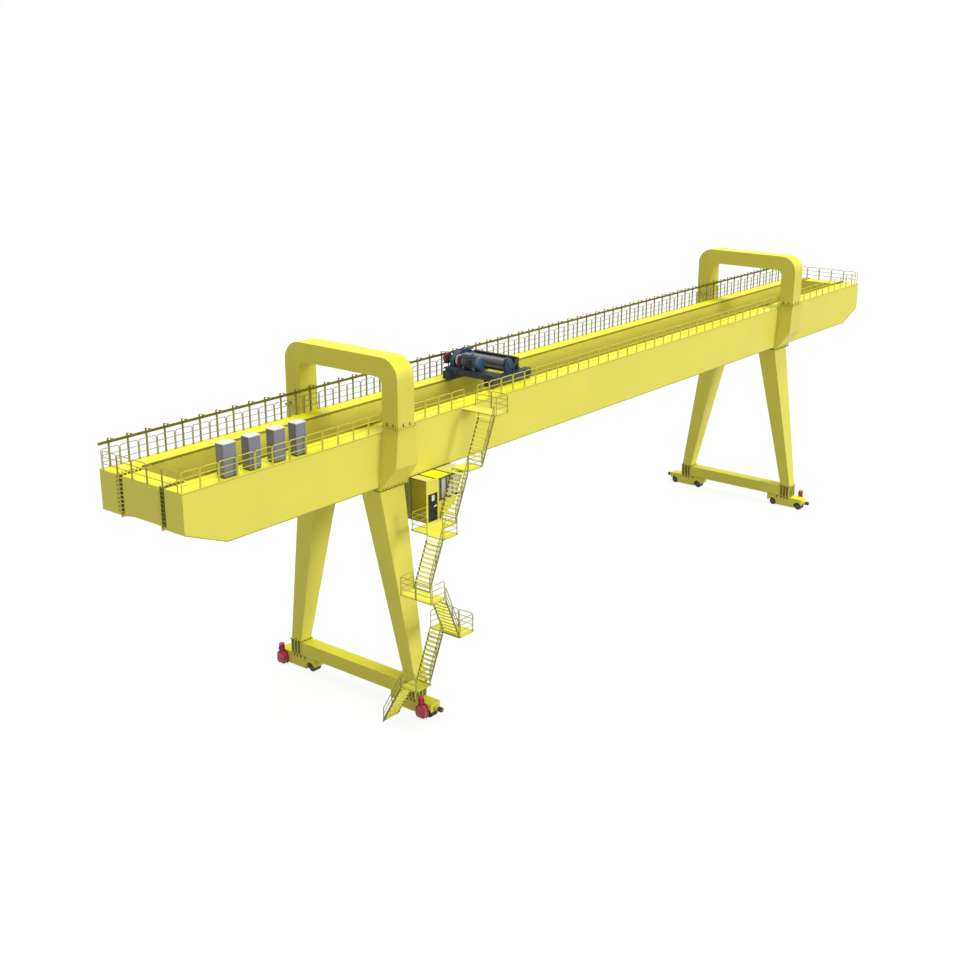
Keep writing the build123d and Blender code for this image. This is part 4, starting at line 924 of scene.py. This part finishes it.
# Hoist trolley: the frame's axle caps, ribs, bolts, buffers and deck plates
HOIST_BASE = TOP + 832
AXLE_X, AXLE_Z = 1840, TOP + 320
CARRIAGE_FACE = 1920
CARRIAGE_END = 2096
AXLE_CAP_PROFILE = [(0, 132), (14, 132), (18, 112), (34, 104), (36, 40)]
frame_bits = Form("trolley")
black_bits = Form("trolley")
for side in (-1, 1):
    way = (0, side, 0)
    face_ys = (side * CARRIAGE_FACE, side * (CARRIAGE_FACE + 14))
    for x in about(TROLLEY_X, AXLE_X):
        black_bits.lathe(AXLE_CAP_PROFILE, (x, side * 1958, AXLE_Z), way, 24)
        frame_bits.bolt_circle((x, side * CARRIAGE_FACE, AXLE_Z), way, 196, 6, 34, 0.5)
        for zs in (over_top(156, 196), over_top(566, 600)):
            frame_bits.box(about(x, 245), face_ys, zs)
    for x in (-1200, -400, 400, 1200):
        frame_bits.box(about(TROLLEY_X + x, 12), face_ys, over_top(170, 640))
    for end in (-1, 1):
        edge = TROLLEY_X + end * CARRIAGE_END
        black_bits.box((edge, edge + end * 30), (side * 1480, side * 1850), over_top(250, 560))
    frame_bits.box(about(TROLLEY_X, 2090), (side * 1404, side * 1924), over_top(640, 654))
for k in range(9):
    for x in (-12760, -11992):
        frame_bits.bolt((x, k * 425 - 1700, HOIST_BASE), (0, 0, 1), 40)
for k in range(5):
    for xs in ((-12812, -12800), (-11952, -11940)):
        frame_bits.box(xs, about(k * 540 - 1250, 14), over_top(486, 826))
frame_bits.piece("trolley_frame_ribs", carriage_grey, "trolley_paint")
block_piece("deck_plates", navy, "blue_paint", [
    ((-12812, -12800), (900, 1845), over_top(560, 828)),
    ((-12806, -9994), (1240, 2046), (HOIST_BASE, HOIST_BASE + 5)),
    ((-12806, -11960), (930, 1240), (HOIST_BASE, HOIST_BASE + 5)),
], body="trolley")
black_bits.piece("trolley_axle_caps", black_trim, "dark_paint")

# Gearbox: a rounded casing with flanges, bearing covers, ribs and fittings
SHAFT_X, SHAFT_Z = -12160, TOP + 1280
DRUM_X, DRUM_Z = -10656, TOP + 1136
SHAFT = (SHAFT_X, 0, SHAFT_Z)
DRUM_AXIS = (DRUM_X, 0, DRUM_Z)
GEARBOX_X = -11190
GEARBOX_YS = (1625, 1975)
FLANGE_YS = (1600, 2000)
CROWN_STEPS = 14
gearbox = Form("trolley")
gear_bolts = Form("trolley")


def crown(half_chord, rise):
    """The points of the gearbox's rounded top, from its right end to its left."""
    radius = (half_chord ** 2 + rise ** 2) / (2 * rise)
    reach = asin(half_chord / radius)
    points = []
    for k in range(CROWN_STEPS + 1):
        turn = reach - 2 * reach * k / CROWN_STEPS
        points.append((GEARBOX_X + radius * sin(turn), SHAFT_Z + rise - radius + radius * cos(turn)))
    return points


gearbox.prism([(-12280, HOIST_BASE), (-10100, HOIST_BASE), *crown(1090, 480)], "y", *GEARBOX_YS)
gearbox.box((-12380, -10000), FLANGE_YS, (SHAFT_Z - 80, SHAFT_Z))
gearbox.box((-12300, -10080), FLANGE_YS, (HOIST_BASE, HOIST_BASE + 50))
for ys in ((1600, 1626), (1974, 2000)):
    gearbox.prism([*crown(1110, 500), *reversed(crown(1040, 430))], "y", *ys)
for x, z, radius, open_faces in ((DRUM_X, DRUM_Z, 235, (1,)), (-11420, SHAFT_Z, 190, (-1, 1)),
                                 (SHAFT_X, SHAFT_Z, 150, (-1, 1))):
    for way in open_faces:
        y = GEARBOX_YS[way > 0]
        cover = [(0, radius), (24, radius), (34, radius * 0.82), (36, radius * 0.5)]
        gearbox.lathe(cover, (x, y, z), (0, way, 0), 24)
        gear_bolts.bolt_circle((x, y + way * 26, z), (0, way, 0), radius * 0.86, 8, 24, 0.5)
for k in range(9):
    for y in (1612, 1988):
        gear_bolts.bolt((k * 290 - 12340, y, SHAFT_Z), (0, 0, 1), 30)
for x in (-12000, -11500, -10900, -10350):
    for ys in ((1604, 1626), (1974, 1996)):
        gearbox.box(about(x, 12), ys, (HOIST_BASE + 50, SHAFT_Z - 80))
gearbox.box((-11420, -10960), (1660, 1940), over_top(1740, 1776))
gearbox.piece("gearbox_casing", machine_blue, "blue_paint", ["hoist_gearbox"], bevel=8)
gear_bolts.piece("gearbox_bolts", bolt_steel, "dark_paint")
caps = Form("trolley")
caps.disc((GEARBOX_X, 1800, TOP + 1770), "z", 110, 60, 16, 12)
for x in about(GEARBOX_X, 190):
    lifting_eye = [(1760, 1740), (1770, 1810), (1800, 1830), (1830, 1810), (1840, 1740)]
    caps.tube([(x, y, TOP + z) for y, z in lifting_eye], 14, 8)
caps.box((-10700, -10300), (1640, 1960), over_top(1660, 1730))
caps.piece("gearbox_fittings", black_trim, "dark_paint")

# Motor: a finned body on two feet, with a terminal box, a bolted cap and cable glands
MOTOR_PROFILE = [(-446, 398), (-436, 410), (-262, 410), (-256, 396), (-250, 336), (700, 336), (704, 372),
                 (850, 372), (888, 330), (896, 200)]
MOTOR_CAP_PROFILE = [(-480, 60), (-480, 330), (-470, 372), (-452, 396), (-440, 400)]
MOTOR_FOOT = [(-330, HOIST_BASE), (200, HOIST_BASE), (200, HOIST_BASE + 40), (120, SHAFT_Z - 200),
              (-250, SHAFT_Z - 200), (-330, HOIST_BASE + 40)]
motor = Form("trolley")
motor.lathe(MOTOR_PROFILE, SHAFT, "y", 40)
for c, s in around(36):
    radial = Vector((c, 0, s))
    low = Vector((SHAFT_X, -240, SHAFT_Z)) + radial * 348
    motor.beam(low, low + ALONG["y"] * 930, 12, 44, up=radial)
for y in (-160, 656):
    motor.prism([(SHAFT_X + a, z) for a, z in MOTOR_FOOT], "y", y, y + 160)
motor.box((SHAFT_X - 260, SHAFT_X + 200), (276, 856), (SHAFT_Z + 300, SHAFT_Z + 490))
motor.box((SHAFT_X - 268, SHAFT_X + 208), (268, 864), (SHAFT_Z + 490, SHAFT_Z + 520))
motor.piece("motor_body", motor_grey, "blue_paint", ["hoist_motor"], bevel=6)
cap = Form("trolley")
cap.lathe(MOTOR_CAP_PROFILE, SHAFT, "y", 40)
cap.bolt_circle((SHAFT_X, -480, SHAFT_Z), (0, -1, 0), 290, 8, 30)
cap.piece("motor_cap", motor_cap, "blue_paint")
motor_dark = Form("trolley")
motor_dark.box((SHAFT_X - 470, SHAFT_X - 300), (80, 420), (SHAFT_Z - 60, SHAFT_Z + 240))
for y in (150, 250, 350):
    motor_dark.disc((SHAFT_X - 400, y, SHAFT_Z - 110), "z", 50, 26, 12)
motor_dark.piece("motor_fittings", black_trim, "dark_paint", bevel=5)

# Brakes: two framed shoes over the shaft, with pale caps, discs and tie rods
BRAKE_X = -12140
BRAKE_HEAD = mirrored([(240, 200), (240, 270), (150, 356)])
BRAKE_ARMS = ((-12380, -12290, -12230), (-11900, -11980, -12040))
arm_top = SHAFT_Z + 220
brakes = Form("trolley")
pale_bits = Form("trolley")
coupling = Form("trolley")
for y0, y1, foot in ((1000, 1225, HOIST_BASE), (2160, 2440, SHAFT_Z - 320)):
    brakes.box((-12380, -11900), (y0, y1), (foot, foot + 60))
    for outside, low_inside, high_inside in BRAKE_ARMS:
        arm = [(outside, foot + 60), (low_inside, foot + 60), (high_inside, arm_top), (outside, arm_top)]
        brakes.prism(arm, "y", y0 + 24, y1 - 24)
    brakes.box((-12330, -11950), (y0 + 50, y1 - 50), (foot + 60, SHAFT_Z + 200))
    brakes.prism([(BRAKE_X + a, SHAFT_Z + b) for a, b in BRAKE_HEAD], "y", y0, y1)
    for y in (y0 + 50, y1 - 50):
        for x in about(BRAKE_X, 140):
            pale_bits.disc((x, y, SHAFT_Z + 330), "z", 70, 46, 14, 8)
    for z in (SHAFT_Z - 160, SHAFT_Z + 60):
        coupling.tube([(-12392, y0 + 40, z), (-12392, y1 - 40, z)], 16, 8)
brakes.piece("brake_frames", maroon, "maroon_paint", ["hoist_brakes"], bevel=8)
pale_bits.lathe([(1232, 330), (1238, 366), (1296, 366), (1302, 340), (1302, 150)], SHAFT, "y", 40)
pale_bits.lathe([(2436, 200), (2442, 232), (2476, 232), (2480, 216)], (SHAFT_X, 0, SHAFT_Z + 20), "y", 32)
pale_bits.piece("brake_discs", brake_pale, "grey_paint")
for sides, profile in (
    (20, [(880, 70), (1004, 70)]),
    (20, [(1220, 90), (1228, 124), (1236, 124)]),
    (28, [(1300, 150), (1380, 150), (1384, 190), (1470, 190), (1474, 120), (1602, 120)]),
    (28, [(1998, 190), (2080, 190), (2084, 270), (2150, 270), (2154, 120), (2164, 120)]),
):
    coupling.lathe(profile, SHAFT, "y", sides)
coupling.piece("shaft_couplings", black_trim, "dark_paint")

# Drum: a grooved barrel between two flanges, with a bolted bearing at its free end
GROOVES = 44
GROOVE_STEP = 62
drum = Form("hoist_drum")
profile = [(-1520, 60), (-1512, 88), (-1320, 88), (-1320, 404), (-1314, 410), (-1266, 410), (-1260, 404),
           (-1260, 350)]
for k in range(GROOVES):
    start = -1250 + k * GROOVE_STEP
    profile += [(start, 350), (start + 12, 336), (start + 31, 330), (start + 50, 336)]
profile += [(1500, 350), (1500, 404), (1506, 410), (1554, 410), (1560, 404), (1560, 88), (1712, 88),
            (1720, 60)]
drum.lathe(profile, DRUM_AXIS, "y", 40)
drum.bolt_circle((DRUM_X, -1320, DRUM_Z), (0, -1, 0), 300, 10, 40)
drum.piece("drum_grooves", drum_steel, "drum_steel", ["hoist_drum"])

bearing = Form("trolley")
bearing.lathe([(-1600, 110), (-1596, 170), (-1570, 196), (-1540, 200)], DRUM_AXIS, "y", 32)
collar = [[(DRUM_X + radius * c, DRUM_Z + radius * s) for c, s in around(24)] for radius in (200, 103)]
bearing.ring(*collar, "y", -1408, -1384)
bearing.bolt_circle((DRUM_X, -1596, DRUM_Z), (0, -1, 0), 150, 6, 30, 0.5)
for x in (-11000, -10330, -10020):
    bearing.prism([(-1540, TOP + 654), (-1640, TOP + 654), (-1540, TOP + 880)], "x", *about(x, 10))
bearing.box((-11090, -9540), (-1650, -1408), over_top(650, 676))
for x in (-11050, -10700, -10350, -10000, -9650):
    bearing.bolt((x, -1620, TOP + 676), (0, 0, 1), 34)
bearing.piece("drum_bearing", navy, "blue_paint", bevel=4)
block_piece("guard_ribs", black_trim, "dark_paint", [
    *[((-9800, -9786), about(k * 440 - 1300, 12), over_top(770, 1460)) for k in range(8)],
    ((-9990, -9790), (-1330, 1900), over_top(1470, 1482)),
], body="trolley")

# Camera
camera_data = bpy.data.cameras.new("camera")
camera_data.lens = 50.44
camera_data.sensor_width = 36
camera_data.clip_end = 500
camera = bpy.data.objects.new("camera", camera_data)
camera.location = (-38.072, -25.678, 18.440)
camera.rotation_euler = (radians(72.13), 0, radians(-51.1))
scene.collection.objects.link(camera)
scene.camera = camera


# Floor, surroundings and light
def seen_share(tree):
    """A socket that is 1 for the camera, a reflection or a view through glass, and 0 for light."""
    rays = tree.nodes.new("ShaderNodeLightPath")
    seen = rays.outputs["Is Camera Ray"]
    for kind in ("Is Glossy Ray", "Is Transmission Ray"):
        either = tree.nodes.new("ShaderNodeMath")
        either.operation = "MAXIMUM"
        tree.links.new(seen, either.inputs[0])
        tree.links.new(rays.outputs[kind], either.inputs[1])
        seen = either.outputs[0]
    return seen


FLOOR = 600
floor_mesh = bpy.data.meshes.new("floor")
floor_corners = [(x, y, 0) for x, y in rectangle(about(0, FLOOR), about(0, FLOOR))]
floor_mesh.from_pydata(floor_corners, [], [(0, 1, 2, 3)])
floor = bpy.data.objects.new("floor", floor_mesh)
scene.collection.objects.link(floor)
ground = bpy.data.materials.new("floor")
ground.use_nodes = True
tree = ground.node_tree
tree.nodes.clear()
lit = add_node(tree, "ShaderNodeBsdfDiffuse", Color=(0.45, 0.45, 0.45, 1))
soft_lit = add_node(tree, "ShaderNodeBsdfDiffuse", Color=(0.12, 0.12, 0.12, 1))
glow = add_node(tree, "ShaderNodeEmission", Color=(1, 1, 1, 1), Strength=0.9)
pale = tree.nodes.new("ShaderNodeAddShader")
tree.links.new(soft_lit.outputs[0], pale.inputs[0])
tree.links.new(glow.outputs[0], pale.inputs[1])
choose = tree.nodes.new("ShaderNodeMixShader")
tree.links.new(seen_share(tree), choose.inputs[0])
tree.links.new(lit.outputs[0], choose.inputs[1])
tree.links.new(pale.outputs[0], choose.inputs[2])
output = tree.nodes.new("ShaderNodeOutputMaterial")
tree.links.new(choose.outputs[0], output.inputs[0])
floor_mesh.materials.append(ground)

world = bpy.data.worlds.new("studio")
scene.world = world
world.use_nodes = True
tree = world.node_tree
background = tree.nodes["Background"]
background.inputs["Color"].default_value = (1, 1, 1, 1)
level = add_node(tree, "ShaderNodeMapRange", To_Min=0.48, To_Max=1.0)
tree.links.new(seen_share(tree), level.inputs["Value"])
tree.links.new(level.outputs["Result"], background.inputs["Strength"])

for lamp_name, power, spread, towards_light in (("top_light", 2.15, 30, (0.06, -0.10, 1.0)),
                                                 ("front_light", 1.2, 20, (0.22, -1.0, 0.22))):
    lamp_data = bpy.data.lights.new(lamp_name, "SUN")
    lamp_data.energy = power
    lamp_data.angle = radians(spread)
    lamp = bpy.data.objects.new(lamp_name, lamp_data)
    lamp.rotation_euler = Vector(towards_light).to_track_quat("Z", "Y").to_euler()
    scene.collection.objects.link(lamp)

scene.view_settings.view_transform = "Standard"
